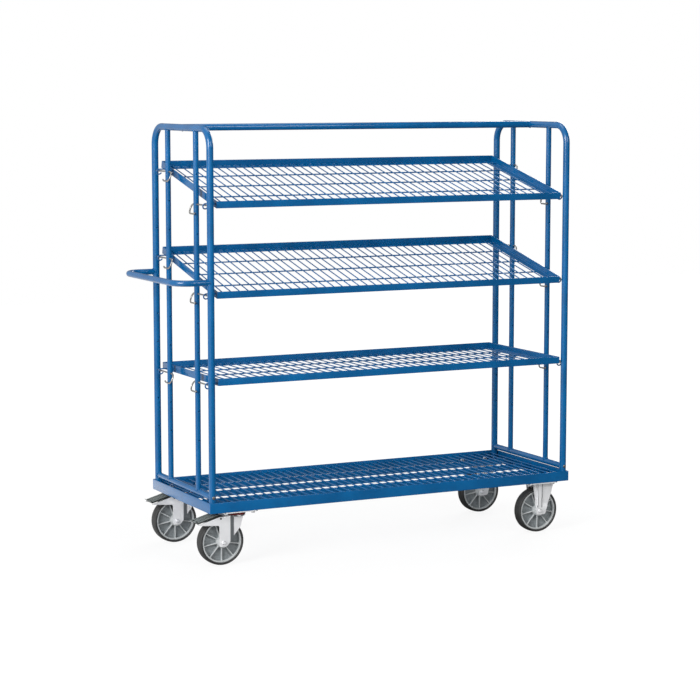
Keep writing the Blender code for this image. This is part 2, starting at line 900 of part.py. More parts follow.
def swivel_fork_mesh():
    """A swivel fork: a round crown and two pressed arms with wings.

    An arm is a flat strip down to the axle, and in front of it a part stepped in towards the wheel.
    Its origin is on the swivel axis, at the crown's top.
    """
    top = crown_top - wheel_radius - crown_thickness / 2
    outline = arc((0.0, 0.0), arm_foot_radius, math.pi, 1.75 * math.pi, arm_round_steps)
    foot_x, foot_z = outline[-1]
    shoulder_x = swivel_trail + arm_front_reach / 2
    shoulder_z = top - arm_shoulder_drop
    slope = (shoulder_z - foot_z) / (shoulder_x - foot_x)
    strip_x = arm_step_at + arm_step_lap
    step_x = arm_step_at - arm_step_lap
    stepped = [
        (step_x, foot_z + slope * (step_x - foot_x) + arm_step_lap),
        (shoulder_x, shoulder_z),
        (swivel_trail + arm_front_reach, top - weld_depth),
        (step_x, top - weld_depth),
    ]
    outline += [
        (strip_x, foot_z + slope * (strip_x - foot_x)),
        (strip_x, top),
        (-pedal_pivot_back - arm_rear_edge / 2, top),
        (-wing_length, wing_tip_height),
        (-wing_length + wing_tip_drop, wing_tip_height - wing_tip_drop),
        (-arm_rear_edge - wing_tip_drop, wing_root_height),
        (-arm_rear_edge, wing_root_height - wing_tip_drop),
    ]
    axle_hole = round_outline((0.0, 0.0), axle_radius + bore_clearance, axle_sides)
    pivot_hole = round_outline(
        (-pedal_pivot_back, pedal_pivot_height),
        pedal_pivot_radius + bore_clearance,
        axle_sides,
    )
    foot = (-swivel_trail, wheel_radius - crown_top)
    arms = arm_plates(outline, [axle_hole, pivot_hole], foot)
    steps = arm_plates(stepped, [], foot, arm_step_depth)
    crown = rod_mesh("crown", (0, 0, 0), (0, 0, -crown_thickness), crown_radius, ring_segments)
    bridge = box_mesh(
        "bridge",
        (-swivel_trail, -arm_inside - arm_thickness / 2, -crown_thickness + weld_depth),
        (0, arm_inside + arm_thickness / 2, -weld_depth),
    )
    bore = rod_mesh(
        "bore",
        (0, 0, cut_overrun),
        (0, 0, -crown_thickness - cut_overrun),
        king_pin_bore,
        king_pin_sides,
    )
    changes = [("UNION", bridge), ("UNION", arms), ("UNION", steps), ("DIFFERENCE", bore)]
    return finished_mesh("swivel_fork", crown, zinc, changes)


def fixed_fork_mesh():
    """A fixed caster's plate and its two tapered arms, each with a raised channel down to the axle.

    Its origin is above the axle, at the plate's top.
    """
    plate_top = frame_underside - touch_gap
    top = plate_top - wheel_radius - plate_thickness / 2
    channel = arc((0.0, 0.0), fixed_foot_radius, math.pi, 2 * math.pi, arm_round_steps)
    channel += [(fixed_channel_top_half, top), (-fixed_channel_top_half, top)]
    above_hub = hub_radius + cut_overrun
    flanges = [
        (fixed_foot_radius, above_hub),
        (fixed_arm_top_half, top - arm_shoulder_drop),
        (fixed_arm_top_half, top),
        (-fixed_arm_top_half, top),
        (-fixed_arm_top_half, top - arm_shoulder_drop),
        (-fixed_foot_radius, above_hub),
    ]
    axle_hole = round_outline((0.0, 0.0), axle_radius + bore_clearance, axle_sides)
    foot = (0.0, wheel_radius - plate_top)
    arms = arm_plates(channel, [axle_hole], foot)
    edges = arm_plates(flanges, [], foot, arm_step_depth)
    plate = box_mesh(
        "fixed_plate",
        (-plate_length / 2, -plate_width / 2, -plate_thickness),
        (plate_length / 2, plate_width / 2, 0),
    )
    changes = [("DIFFERENCE", plate_slots()), ("UNION", arms), ("UNION", edges)]
    return finished_mesh("fixed_fork", plate, zinc, changes)


def pedal_mesh():
    """A brake pedal: a ribbed tread with a lip between the wings, and a lug on its pivot pin.

    Its origin is on the pivot.
    """
    half_width = arm_inside - pedal_side_gap
    slope = math.atan2(
        crown_top - wheel_radius - crown_thickness / 2 - wing_tip_height,
        wing_length - pedal_pivot_back - arm_rear_edge / 2,
    )
    tread = bmesh.new()
    add_box(
        tread,
        (-pedal_length, -half_width, pedal_rise - pedal_thickness),
        (-pedal_root_gap, half_width, pedal_rise),
    )
    add_box(
        tread,
        (-pedal_length, -half_width, pedal_rise - weld_depth),
        (-pedal_length + pedal_lip, half_width, pedal_rise + pedal_lip_height),
    )
    add_box(
        tread,
        (-pedal_length + pedal_lip / 2, -pedal_bar_width / 2, pedal_rise - weld_depth),
        (-pedal_root_gap - weld_depth, pedal_bar_width / 2, pedal_rise + pedal_rib_height + touch_gap),
    )
    for number in range(pedal_rib_count):
        x = -pedal_length * (number + 1 / 2) / pedal_rib_count
        add_box(
            tread,
            (x - pedal_rib_width / 2, -half_width + pedal_rib_width, pedal_rise - weld_depth),
            (x + pedal_rib_width / 2, half_width - pedal_rib_width, pedal_rise + pedal_rib_height),
        )
    bmesh.ops.transform(tread, matrix=Matrix.Rotation(-slope, 4, "Y"), verts=tread.verts)
    lug = box_mesh(
        "pedal_lug",
        (-pedal_lug_length / 2, -half_width, -pedal_lug_drop),
        (pedal_lug_length / 2, half_width, pedal_rise - pedal_thickness / 2),
    )
    pin = rod_mesh("pedal_pin", (0, -arm_outside, 0), (0, arm_outside, 0), pedal_pivot_radius, axle_sides)
    changes = [("UNION", mesh_from(tread, "pedal_tread")), ("UNION", pin)]
    return finished_mesh("brake_pedal", lug, black_steel, changes)


def make_casters():
    """Two swivel casters with brakes at the handle end, two fixed casters at the other end."""
    tyre = tyre_mesh()
    rim = rim_mesh()
    axle = axle_mesh()
    swivel_plate = swivel_plate_mesh()
    dust_ring = dust_ring_mesh()
    swivel_fork = swivel_fork_mesh()
    fixed_fork = fixed_fork_mesh()
    pedal = pedal_mesh()
    swivel_x = frame_left + swivel_inset_x
    fixed_x = frame_right - fixed_inset_x
    for side_name, side in sides.items():
        y = side * (frame_depth / 2 - caster_inset_y)
        place = "left_" + side_name
        piece("caster_plate_" + place, swivel_plate, zinc, (swivel_x, y, plate_underside + plate_thickness))
        piece("dust_ring_" + place, dust_ring, red_plastic, (swivel_x, y, plate_underside - touch_gap))
        fork = piece("swivel_fork_" + place, swivel_fork, zinc, (swivel_x, y, crown_top))
        axle_low = wheel_radius - crown_top
        pedal_place = (-swivel_trail - pedal_pivot_back, 0, axle_low + pedal_pivot_height)
        piece("brake_pedal_" + place, pedal, black_steel, pedal_place, fork)
        wheel_place = (-swivel_trail, 0, axle_low)
        piece("axle_" + place, axle, zinc, wheel_place, fork)
        piece("rim_" + place, rim, grey_plastic, wheel_place, fork)
        piece("tyre_" + place, tyre, tyre_rubber, wheel_place, fork)
        place = "right_" + side_name
        piece("fixed_fork_" + place, fixed_fork, zinc, (fixed_x, y, frame_underside - touch_gap))
        wheel_place = (fixed_x, y, wheel_radius)
        piece("axle_" + place, axle, zinc, wheel_place)
        piece("rim_" + place, rim, grey_plastic, wheel_place)
        piece("tyre_" + place, tyre, tyre_rubber, wheel_place)


make_casters()
make_base()
for end_name in post_x:
    make_end_frame(end_name)
make_tie_tube()
make_handle()
make_shelves()
make_pins()
bpy.context.view_layer.update()
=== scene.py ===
# %% [markdown]
# # A shelf trolley of painted tube, angle steel and wire
#
# The real trolley is a low ring of angle steel on four casters, with a bent tube frame at each end.
# Wire shelves hang between the end frames on bent wire pins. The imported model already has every
# piece at its real size and place, in plain facets. This file dresses it: it works out smooth
# tubes, rounded steel sections, round wires and detailed casters, and gives each its finish.

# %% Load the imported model
import math

import bmesh
import bpy
import numpy as np
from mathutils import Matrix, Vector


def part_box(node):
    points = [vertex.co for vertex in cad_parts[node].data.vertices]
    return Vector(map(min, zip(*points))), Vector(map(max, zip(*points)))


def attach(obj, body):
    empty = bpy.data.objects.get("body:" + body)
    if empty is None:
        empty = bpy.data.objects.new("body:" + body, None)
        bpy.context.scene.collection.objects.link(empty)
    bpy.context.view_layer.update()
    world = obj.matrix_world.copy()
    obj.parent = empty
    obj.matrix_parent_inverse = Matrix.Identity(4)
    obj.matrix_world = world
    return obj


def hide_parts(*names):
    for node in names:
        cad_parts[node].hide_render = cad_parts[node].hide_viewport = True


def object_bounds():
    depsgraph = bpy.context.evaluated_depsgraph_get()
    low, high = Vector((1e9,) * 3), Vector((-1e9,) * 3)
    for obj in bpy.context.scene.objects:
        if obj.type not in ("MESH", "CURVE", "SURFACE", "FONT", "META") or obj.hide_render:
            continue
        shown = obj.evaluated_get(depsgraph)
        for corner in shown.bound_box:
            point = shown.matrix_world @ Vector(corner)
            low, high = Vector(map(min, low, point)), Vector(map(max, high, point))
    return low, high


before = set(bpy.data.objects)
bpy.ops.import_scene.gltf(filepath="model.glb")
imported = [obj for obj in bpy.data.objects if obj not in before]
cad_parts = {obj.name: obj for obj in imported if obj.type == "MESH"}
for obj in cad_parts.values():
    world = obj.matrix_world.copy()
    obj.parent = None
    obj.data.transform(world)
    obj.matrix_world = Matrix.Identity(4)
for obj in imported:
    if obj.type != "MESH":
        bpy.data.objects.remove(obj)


def plain_box():
    """The shown object's lowest and highest corners, as plain lists."""
    return [[float(number) for number in corner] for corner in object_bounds()]


cad_box = plain_box()
print("CAD box from", cad_box[0], "to", cad_box[1])

# %% [markdown]
# ## The camera
#
# The photograph was taken from the front left, from a little above the trolley's top, with a
# long lens. The place, the turn, the tilt and the lens come from a least-squares fit to the corners
# of the base frame and the shelves and to the tubes, which leaves about 1.5 pixels. The tubes are
# parallel in the photograph, so its lens was shifted. Here it isn't, because the views from the
# other sides would keep the shift and lose the top of the trolley.

# %% Camera
camera_place = (-3.6523, -7.3173, 1.7142)
turn_right = math.radians(26.561)
look_down = math.radians(6.935)
focal_share = 2178.6 / 700

lens = bpy.data.cameras.new("camera")
lens.sensor_width = 36.0
lens.lens = lens.sensor_width * focal_share
camera = bpy.data.objects.new("camera", lens)
camera.location = camera_place
camera.rotation_euler = (math.radians(90) - look_down, 0.0, -turn_right)
bpy.context.scene.collection.objects.link(camera)
bpy.context.scene.camera = camera
print("camera at", camera_place, "with a", round(lens.lens, 1), "mm lens")

# %% [markdown]
# ## Shader maths in plain Python
#
# A material is a graph of nodes. Written node by node it is hard to read, so one small class wraps
# a socket and lets Python's own operators add the Math nodes. `noise * 0.2 + 0.4` then means what
# it says. Any other node comes from one method that takes its type, settings and inputs. The world
# is such a graph too, and a finish is a graph with a shader.


# %% Sockets and nodes
class Wire:
    """One value in a node tree. Plus, minus and times add Math nodes."""

    def __init__(self, tree, socket):
        self.tree = tree
        self.socket = socket

    def maths(self, operation, first, second):
        node = self.tree.nodes.new("ShaderNodeMath")
        node.operation = operation
        for slot, value in zip(node.inputs, (first, second)):
            join_socket(self.tree, slot, value)
        return Wire(self.tree, node.outputs[0])

    def __add__(self, other):
        return self.maths("ADD", self, other)

    def __radd__(self, other):
        return self.maths("ADD", other, self)

    def __sub__(self, other):
        return self.maths("SUBTRACT", self, other)

    def __rsub__(self, other):
        return self.maths("SUBTRACT", other, self)

    def __mul__(self, other):
        return self.maths("MULTIPLY", self, other)

    def __rmul__(self, other):
        return self.maths("MULTIPLY", other, self)


def join_socket(tree, slot, value):
    """Link a wire to an input, or write a plain value into it."""
    if isinstance(value, Wire):
        tree.links.new(value.socket, slot)
    else:
        slot.default_value = value


class Graph:
    """A node tree under work."""

    def __init__(self, tree):
        self.tree = tree

    def node(self, kind, settings=(), inputs=(), output=0):
        """Add a node. Its settings are set first, then the values or links of its inputs."""
        node = self.tree.nodes.new(kind)
        for name, value in dict(settings).items():
            setattr(node, name, value)
        for name, value in dict(inputs).items():
            join_socket(self.tree, node.inputs[name], value)
        return Wire(self.tree, node.outputs[output])

    def size_of(self, value):
        """A number without its sign."""
        return self.node("ShaderNodeMath", {"operation": "ABSOLUTE"}, {0: value})

    def dot(self, place, direction):
        """How far each place lies along a direction."""
        inputs = {0: place, 1: direction}
        return self.node("ShaderNodeVectorMath", {"operation": "DOT_PRODUCT"}, inputs, "Value")

    def ramp(self, value, low, high, start=0.0, end=1.0):
        """The start value below low, the end value above high, and an even slope between."""
        inputs = {"Value": value, "From Min": low, "From Max": high, "To Min": start, "To Max": end}
        return self.node("ShaderNodeMapRange", inputs=inputs, output="Result")


class Finish(Graph):
    """A material under work, with its Principled shader and the place of each point."""

    def __init__(self, name):
        self.material = bpy.data.materials.new(name)
        self.material.use_nodes = True
        super().__init__(self.material.node_tree)
        self.shader = self.tree.nodes["Principled BSDF"]
        self.place = self.node("ShaderNodeTexCoord", output="Object")

    def noise(self, scale, detail=2.0, roughness=0.5):
        """Noise from 0 to 1 with so many features to a metre."""
        inputs = {"Vector": self.place, "Scale": scale, "Detail": detail, "Roughness": roughness}
        return self.node("ShaderNodeTexNoise", inputs=inputs, output="Fac")

    def mix(self, share, first, second):
        """A colour between two colours."""
        node = self.tree.nodes.new("ShaderNodeMix")
        node.data_type = "RGBA"
        for slot, value in ((0, share), (6, first), (7, second)):
            join_socket(self.tree, node.inputs[slot], value)
        return Wire(self.tree, node.outputs[2])

    def bump(self, height, depth):
        """Raise the surface by a height that is depth metres at 1."""
        inputs = {"Height": height, "Distance": depth, "Strength": 1.0}
        self.set("Normal", self.node("ShaderNodeBump", inputs=inputs, output="Normal"))

    def set(self, name, value):
        """Set or link an input of the shader."""
        join_socket(self.tree, self.shader.inputs[name], value)


def grey(value):
    """A grey as a colour."""
    return (value, value, value, 1.0)


print("shader helpers ready")

# %% [markdown]
# ## The finishes
#
# All the steel of the frame is powder coated in a clear mid blue. Powder melts into a hard gloss
# skin with a faint orange peel, which is a shallow noise bump a few millimetres across, and it
# pools a touch lighter and darker over a hand's width. The casters are bright zinc, whose
# crystals change the gloss in small patches; faces that slope partly across x are painted dark
# grey, a painted shade. Tyre, wheel centre and pedal are moulded or painted, and each has the fine
# grain of its mould. The raised parts of the wheel centre and the tops of the pedal's ribs and
# border are painted lighter, a painted highlight.

# %% Blue powder coat
blue_low = (0.0, 0.080, 0.228, 1.0)
blue_high = (0.0, 0.102, 0.282, 1.0)

coat = Finish("powder_coat")
peel = coat.noise(420.0, 2.0)
pool = coat.noise(9.0, 3.0)
coat.set("Base Color", coat.mix(coat.ramp(pool, 0.35, 0.65), blue_low, blue_high))
coat.set("Roughness", 0.17 + peel * 0.10)
coat.set("Specular IOR Level", 0.5)
coat.bump(peel, 0.00006)
blue = coat.material
print("blue powder coat ready")

# %% Bright zinc
plating = Finish("bright_zinc")
cells = {"Vector": plating.place, "Scale": 260.0}
crystal = plating.node("ShaderNodeTexVoronoi", inputs=cells, output="Color")
crystal = plating.node("ShaderNodeSeparateColor", inputs={"Color": crystal}, output="Red")
haze = plating.noise(35.0, 4.0)
facing = plating.node("ShaderNodeTexCoord", output="Normal")
facing = plating.node("ShaderNodeSeparateXYZ", inputs={"Vector": facing}, output="X")
facing = plating.size_of(facing)
# Faces whose normal points partly along x, between about a tenth and six tenths of the way, such as the
# forks' sloped steps and channel sides, are painted nearly dark grey: a painted shade.
slope = plating.ramp(facing, 0.08, 0.20) * (plating.ramp(facing, 0.5, 0.7) * -1.0 + 1.0)
sheen = plating.mix(haze, (0.78, 0.79, 0.81, 1.0), (0.90, 0.90, 0.91, 1.0))
plating.set("Base Color", plating.mix(slope * 0.95, sheen, (0.15, 0.165, 0.175, 1.0)))
plating.set("Metallic", 0.3)
plating.set("Roughness", 0.28 + crystal * 0.10 + haze * 0.10)
plating.bump(plating.noise(900.0, 2.0), 0.00003)
zinc = plating.material

drawn = Finish("drawn_wire_zinc")
streak = drawn.noise(140.0, 4.0, 0.6)
drawn.set("Base Color", drawn.mix(streak, (0.20, 0.195, 0.185, 1.0), (0.42, 0.41, 0.39, 1.0)))
drawn.set("Metallic", 0.9)
drawn.set("Roughness", 0.30 + streak * 0.15)
drawn.bump(drawn.noise(1100.0, 2.0), 0.00003)
wire_zinc = drawn.material
print("bright zinc and drawn wire ready")

# %% Tyre rubber
rubber = Finish("tyre_rubber_grey")
dust = rubber.noise(60.0, 5.0, 0.7)
rubber.set("Base Color", rubber.mix(rubber.ramp(dust, 0.4, 0.8), grey(0.016), (0.036, 0.037, 0.037, 1.0)))
rubber.set("Roughness", 0.55 + dust * 0.2)
rubber.bump(rubber.noise(1500.0, 3.0), 0.00006)
tyre_black = rubber.material

# %% Wheel plastic
caster_y = 0.2215

moulded = Finish("wheel_plastic")
grain = moulded.noise(2200.0, 2.0)
cloud = moulded.noise(90.0, 4.0, 0.65)
across = moulded.node("ShaderNodeSeparateXYZ", inputs={"Vector": moulded.place}, output="Y")
# Parts that stand more than about 10 to 13 mm out from the wheel's middle plane, the ribs, the ring and the
# hub, are painted light grey over the darker recessed web: a painted highlight on the raised parts and
# painted shade on the web.
raised = moulded.size_of(moulded.size_of(across) - caster_y)
web_low = (0.145, 0.160, 0.167, 1.0)
web_high = (0.245, 0.270, 0.280, 1.0)
web_tone = moulded.mix(moulded.ramp(cloud, 0.3, 0.7), web_low, web_high)
painted_highlight = moulded.ramp(raised, 0.0095, 0.0135)
moulded.set("Base Color", moulded.mix(painted_highlight, web_tone, (0.44, 0.46, 0.465, 1.0)))
moulded.set("Roughness", 0.38 + grain * 0.15)
moulded.bump(grain, 0.00004)
wheel_grey = moulded.material

# %% Red dust ring
seal = Finish("dust_ring_red")
smear = seal.noise(90.0, 3.0)
seal.set("Base Color", seal.mix(smear, (0.15, 0.012, 0.012, 1.0), (0.22, 0.022, 0.020, 1.0)))
seal.set("Roughness", 0.4 + smear * 0.15)
seal.bump(seal.noise(1200.0, 2.0), 0.00004)
ring_red = seal.material
print("rubber, plastic and ring finishes ready")

# %% [markdown]
# ## Surfaces from grids of numbers
#
# Every new piece is a grid of points worked out at once with numpy, and each little square of the
# grid becomes a face. One class gathers such grids into a mesh. Where two grids meet, their edge
# points fall on each other and are merged, so seams and poles close.

# %% Grids to meshes
seam = 1e-6


def unit(vectors):
    """Vectors at length one."""
    return vectors / np.linalg.norm(vectors, axis=-1, keepdims=True)


def at(x, y, z):
    """Points from their coordinates, each a number or an array, spread over each other."""
    return np.stack(np.broadcast_arrays(x, y, z), -1)


def rectangle(half_wide, half_high):
    """The corners of a rectangle round the origin."""
    return [
        (-half_wide, -half_high),
        (half_wide, -half_high),
        (half_wide, half_high),
        (-half_wide, half_high),
    ]


def turn_matrix(angle, first, second):
    """The matrix that turns by an angle from one axis, 0 to 2, towards another."""
    matrix = np.eye(3)
    matrix[first, first] = math.cos(angle)
    matrix[second, second] = math.cos(angle)
    matrix[first, second] = -math.sin(angle)
    matrix[second, first] = math.sin(angle)
    return matrix


class Skin:
    """Grids of points that become one mesh."""

    def __init__(self):
        self.points = []
        self.quads = []
        self.total = 0

    def add(self, grid, closed=False, keep=None):
        """Add grids shaped (..., rows, columns, 3).

        Face (i, j) joins the points (i, j), (i, j + 1), (i + 1, j + 1) and (i + 1, j). With closed,
        the last column joins the first. keep picks the faces that stay.
        """
        number = np.arange(grid[..., 0].size).reshape(grid.shape[:-1]) + self.total
        if closed:
            number = np.concatenate([number, number[..., :1]], axis=-1)
        corners = (
            number[..., :-1, :-1],
            number[..., :-1, 1:],
            number[..., 1:, 1:],
            number[..., 1:, :-1],
        )
        quads = np.stack(corners, axis=-1)
        if keep is not None:
            quads = quads[keep]
        self.points.append(grid.reshape(-1, 3))
        self.quads.append(quads.reshape(-1, 4))
        self.total += grid[..., 0].size


def make_piece(name, skin, body, nodes, material, crease=40.0):
    """Turn a skin into a piece that rides on a body and stands for some CAD nodes."""
    points = np.concatenate(skin.points)
    quads = np.concatenate(skin.quads)
    mesh = bpy.data.meshes.new(name)
    mesh.vertices.add(len(points))
    mesh.vertices.foreach_set("co", points.ravel())
    mesh.loops.add(quads.size)
    mesh.loops.foreach_set("vertex_index", quads.ravel())
    mesh.polygons.add(len(quads))
    mesh.polygons.foreach_set("loop_start", np.arange(0, quads.size, 4))
    mesh.update(calc_edges=True)
    shape = bmesh.new()
    shape.from_mesh(mesh)
    bmesh.ops.remove_doubles(shape, verts=shape.verts, dist=seam)
    bmesh.ops.recalc_face_normals(shape, faces=shape.faces)
    shape.to_mesh(mesh)
    shape.free()
    mesh.shade_smooth()
    mesh.set_sharp_from_angle(angle=math.radians(crease))
    mesh.materials.append(material)
    thing = bpy.data.objects.new(name, mesh)
    bpy.context.scene.collection.objects.link(thing)
    if nodes:
        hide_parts(*nodes)
    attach(thing, body)
    print(name, "has", len(mesh.polygons), "faces")
    return thing


# %% [markdown]
# ## Paths, sections and sweeps
#
# A tube is a circle carried along a line, and so are the wires, the pins and the weld beads. The
# line is a few corner points whose corners are rounded to the bend radius of the real tube. At
# each point of the line the section stands square to it.


# %% Rounded corners
def rounded(corners, radii, steps=8, closed=False):
    """A line with its corners replaced by arcs.

    For a corner with half angle h, the arc starts radius / tan(h) before the corner, and its centre
    lies radius / sin(h) along the line that halves the corner.
    """
    corners = np.asarray(corners, float)
    radii = np.broadcast_to(radii, len(corners) if closed else len(corners) - 2)
    share = np.linspace(0.0, 1.0, steps + 1)[:, None]
    if closed:
        corners = np.concatenate([corners[-1:], corners, corners[:1]])
    run = [] if closed else [corners[:1]]
    for before, corner, after, radius in zip(corners, corners[1:], corners[2:], radii):
        back = unit(before - corner)
        on = unit(after - corner)
        half = math.acos(float(np.clip(back @ on, -1.0, 1.0))) / 2
        if radius == 0.0 or half > math.radians(89.5):
            run.append(corner[None])
            continue
        centre = corner + unit(back + on) * radius / math.sin(half)
        first = corner + back * radius / math.tan(half) - centre
        last = corner + on * radius / math.tan(half) - centre
        angle = math.pi - 2 * half
        blend = np.sin((1 - share) * angle) * first + np.sin(share * angle) * last
        run.append(centre + blend / math.sin(angle))
    if not closed:
        run.append(corners[-1:])
    return np.concatenate(run)


def circle(radius, sides):
    """Points evenly round a circle."""
    turn = np.linspace(0.0, 2 * math.pi, sides, endpoint=False)
    return np.stack([radius * np.cos(turn), radius * np.sin(turn)], axis=-1)


def ellipse_end(edge, radius, steps=4):
    """Scale and advance of the rings that round off the end of a bar, and close it in the middle."""
    turn = np.linspace(0.0, math.pi / 2, steps)
    scale = np.append((radius - edge + edge * np.cos(turn)) / radius, 0.0)
    ahead = np.append(edge * np.sin(turn), edge)
    return scale, ahead


# %% Sweeps
def frames(path, steady):
    """The two directions square to a path, at each of its points.

    across = path direction x steady, up = across x path direction. steady is a direction that the
    path never follows.
    """
    ahead = np.empty_like(path)
    ahead[1:-1] = path[2:] - path[:-2]
    ahead[0] = path[1] - path[0]
    ahead[-1] = path[-1] - path[-2]
    ahead = unit(ahead)
    across = unit(np.cross(ahead, np.asarray(steady, float)))
    return ahead, across, np.cross(across, ahead)


def sweep(skin, path, section, steady, edge=0.0004):
    """Carry a section along a path and round off both ends.

    point = path(i) + a(j) * across(i) + b(j) * up(i), with (a, b) the section.
    """
    path = np.asarray(path, float)
    ahead, across, up = frames(path, steady)
    radius = float(np.abs(section).max())
    scale, advance = ellipse_end(edge, radius)
    last = len(path) - 1
    rows = np.concatenate([np.zeros(len(scale), int), np.arange(1, last), np.full(len(scale), last)])
    size = np.concatenate([scale[::-1], np.ones(last - 1), scale])[:, None, None]
    push = np.concatenate([edge - advance[::-1], np.zeros(last - 1), advance - edge])[:, None, None]
    centre = path[rows][:, None] + ahead[rows][:, None] * push
    grid = centre + size * (
        section[None, :, :1] * across[rows][:, None] + section[None, :, 1:] * up[rows][:, None]
    )
    skin.add(grid, closed=True)


print("sweeps ready")

# %% [markdown]
# ## Tubes with drilled holes
#
# The posts and the inner uprights are drilled every 106 mm for the shelf pins. A hole could be cut
# with a Boolean, but the shading round it would then break up. Here the tube's skin is unrolled
# instead: it is a flat sheet, with the turn across and the distance along. Round each hole a square
# tile of the sheet is left out and filled with rings that go from the square to the circle, over
# a small lip and down the hole's wall. Rolling the sheet up gives the tube.

# %% Drilled tubes
tube_columns = 48
tile_columns = 8
hole_lip = 0.0003
hole_wall = 0.0015
hole_depth = 0.005


def drilled_tube(skin, path, radius, steady, holes, hole_radius):
    """A tube along a path, with holes given as (distance along the path, turn round it).

    point = centre(t) + (radius - depth) * (cos(turn) * across(t) + sin(turn) * up(t)).
    """
    path = np.asarray(path, float)
    _, across, up = frames(path, steady)
    walked = np.concatenate([[0.0], np.cumsum(np.linalg.norm(np.diff(path, axis=0), axis=1))])

    def roll(along, turn, depth=0.0):
        along, turn, depth = np.broadcast_arrays(along, turn, depth)

        def there(line):
            return at(*(np.interp(along, walked, line[:, k]) for k in range(3)))

        out = np.cos(turn)[..., None] * unit(there(across)) + np.sin(turn)[..., None] * unit(there(up))
        return there(path) + (radius - depth)[..., None] * out

    column_turn = 2 * math.pi / tube_columns
    tile_half = radius * column_turn * tile_columns / 2
    steps = np.linspace(-1.0, 1.0, tile_columns + 1)
    tile_rows = [along + tile_half * steps for along, _ in holes]
    rows = np.sort(np.concatenate([walked] + tile_rows))
    rows = rows[np.concatenate([[True], np.diff(rows) > seam])]
    turns = np.arange(tube_columns) * column_turn
    keep = np.ones((len(rows) - 1, tube_columns), bool)
    middle = (rows[1:] + rows[:-1]) / 2
    for along, turn in holes:
        offset = (turns + column_turn / 2 - turn + math.pi) % (2 * math.pi) - math.pi
        inside = np.abs(offset) < column_turn * tile_columns / 2
        keep &= ~((np.abs(middle - along) < tile_half)[:, None] & inside[None])
    skin.add(roll(rows[:, None], turns[None]), closed=True, keep=keep)

    # The tile's border, walked once round, and the rings inside it
    borders = [np.stack([steps[:-1], np.full(tile_columns, -1.0)], -1)]
    for _ in range(3):
        borders.append(np.stack([-borders[-1][:, 1], borders[-1][:, 0]], -1))
    border = np.concatenate(borders) * tile_half
    round_one = unit(border)
    lip_turn = np.linspace(0.0, math.pi / 2, 4)
    lip_radius = hole_radius + hole_lip * (1 - np.sin(lip_turn))
    ring_radius = np.concatenate([lip_radius, [hole_radius, hole_radius, 0.0]])
    ring_depth = np.concatenate([hole_lip * (1 - np.cos(lip_turn)), [hole_wall, hole_depth, hole_depth]])
    flat = [border, border * 0.5 + round_one * (hole_radius + hole_lip) * 0.5]
    rings = np.concatenate([np.stack(flat), ring_radius[:, None, None] * round_one[None]])
    depths = np.concatenate([[0.0, 0.0], ring_depth])[:, None]
    for along, turn in holes:
        skin.add(roll(along + rings[..., 1], turn + rings[..., 0] / radius, depths), closed=True)

    for end in (0, -1):
        rim = roll(np.full(tube_columns, walked[end]), turns)
        skin.add(np.stack([rim, np.broadcast_to(path[end], rim.shape)]), closed=True)


# %% [markdown]
# ## Weld beads
#
# Where one tube meets another, the real joint is a bead of weld metal run round it. Its line is
# where the two cylinders cross: for a branch of radius b on a tube of radius a, the point at turn
# w lies b * (cos w, sin w) from the branch's axis and sqrt(a^2 - (b * sin w)^2) from the tube's
# axis. The bead's own radius swells a little at each ripple of the welder's hand.


# %% Weld beads
def weld_bead(skin, origin, main_axis, main_radius, branch_axis, branch_radius, bead=0.0023, ripples=26):
    """A rippled bead round the foot of a branch tube that stands on a main tube."""
    main_axis = np.asarray(main_axis, float)
    branch_axis = np.asarray(branch_axis, float)
    side_axis = np.cross(branch_axis, main_axis)
    turn = np.linspace(0.0, 2 * math.pi, 4 * ripples, endpoint=False)
    out = np.cos(turn)[:, None] * main_axis + np.sin(turn)[:, None] * side_axis
    rise = np.sqrt(np.maximum(main_radius**2 - (branch_radius * np.sin(turn)) ** 2, 0.0))
    line = np.asarray(origin, float) + branch_radius * out + rise[:, None] * branch_axis
    from_main = side_axis * (branch_radius * np.sin(turn))[:, None] + branch_axis * rise[:, None]
    lean = unit(out + unit(from_main))
    size = bead * (1 + 0.16 * np.cos(turn * ripples))
    ahead = unit(np.roll(line, -1, axis=0) - np.roll(line, 1, axis=0))
    over = np.cross(ahead, lean)
    profile = circle(1.0, 10)
    grid = line[:, None] + size[:, None, None] * (
        profile[None, :, :1] * lean[:, None] + 0.8 * profile[None, :, 1:] * over[:, None]
    )
    grid[..., 2] = np.minimum(grid[..., 2], cad_box[1][2] - 0.0001)
    skin.add(np.concatenate([grid, grid[:1]]), closed=True)


print("drilled tubes and weld beads ready")

# %% [markdown]
# ## The main places
#
# The CAD model fixes where everything is. The tubes' axes and radii are the same numbers as
# there, in metres, with the floor at zero and the middle of the trolley at the origin.

# %% Places
posts_x = {"left": -0.6727, "right": 0.7937}
post_y = 0.2607
post_radius = 0.0125
post_foot = 0.2023
upright_y = 0.132957
upright_radius = 0.010
hoop_top = 1.5625
hoop_bend = 0.068
foot_tube_z = 0.254
foot_tube_radius = 0.011
first_hole = 0.442
hole_pitch = 0.1064
hole_rows = 10
hole_radius = 0.0033
handle_z = 1.023
handle_radius = 0.011
handle_far_x = -0.7995
handle_bend = 0.062
frame_middle = 0.0605
sides = {"front": -1.0, "rear": 1.0}
x_axis, y_axis, z_axis = np.eye(3)
hole_heights = first_hole + hole_pitch * np.arange(hole_rows)
print("pin holes from", hole_heights[0], "to", round(float(hole_heights[-1]), 3), "m")

# %% [markdown]
# ## The end frames
#
# Each end frame is one long tube bent to a hoop, two thinner uprights inside it and a cross tube
# at the foot. The hoop's posts are drilled on their inner sides only, and the uprights right
# through, so that a pin's tip is held in the post. A long tube joins the tops of the hoops.

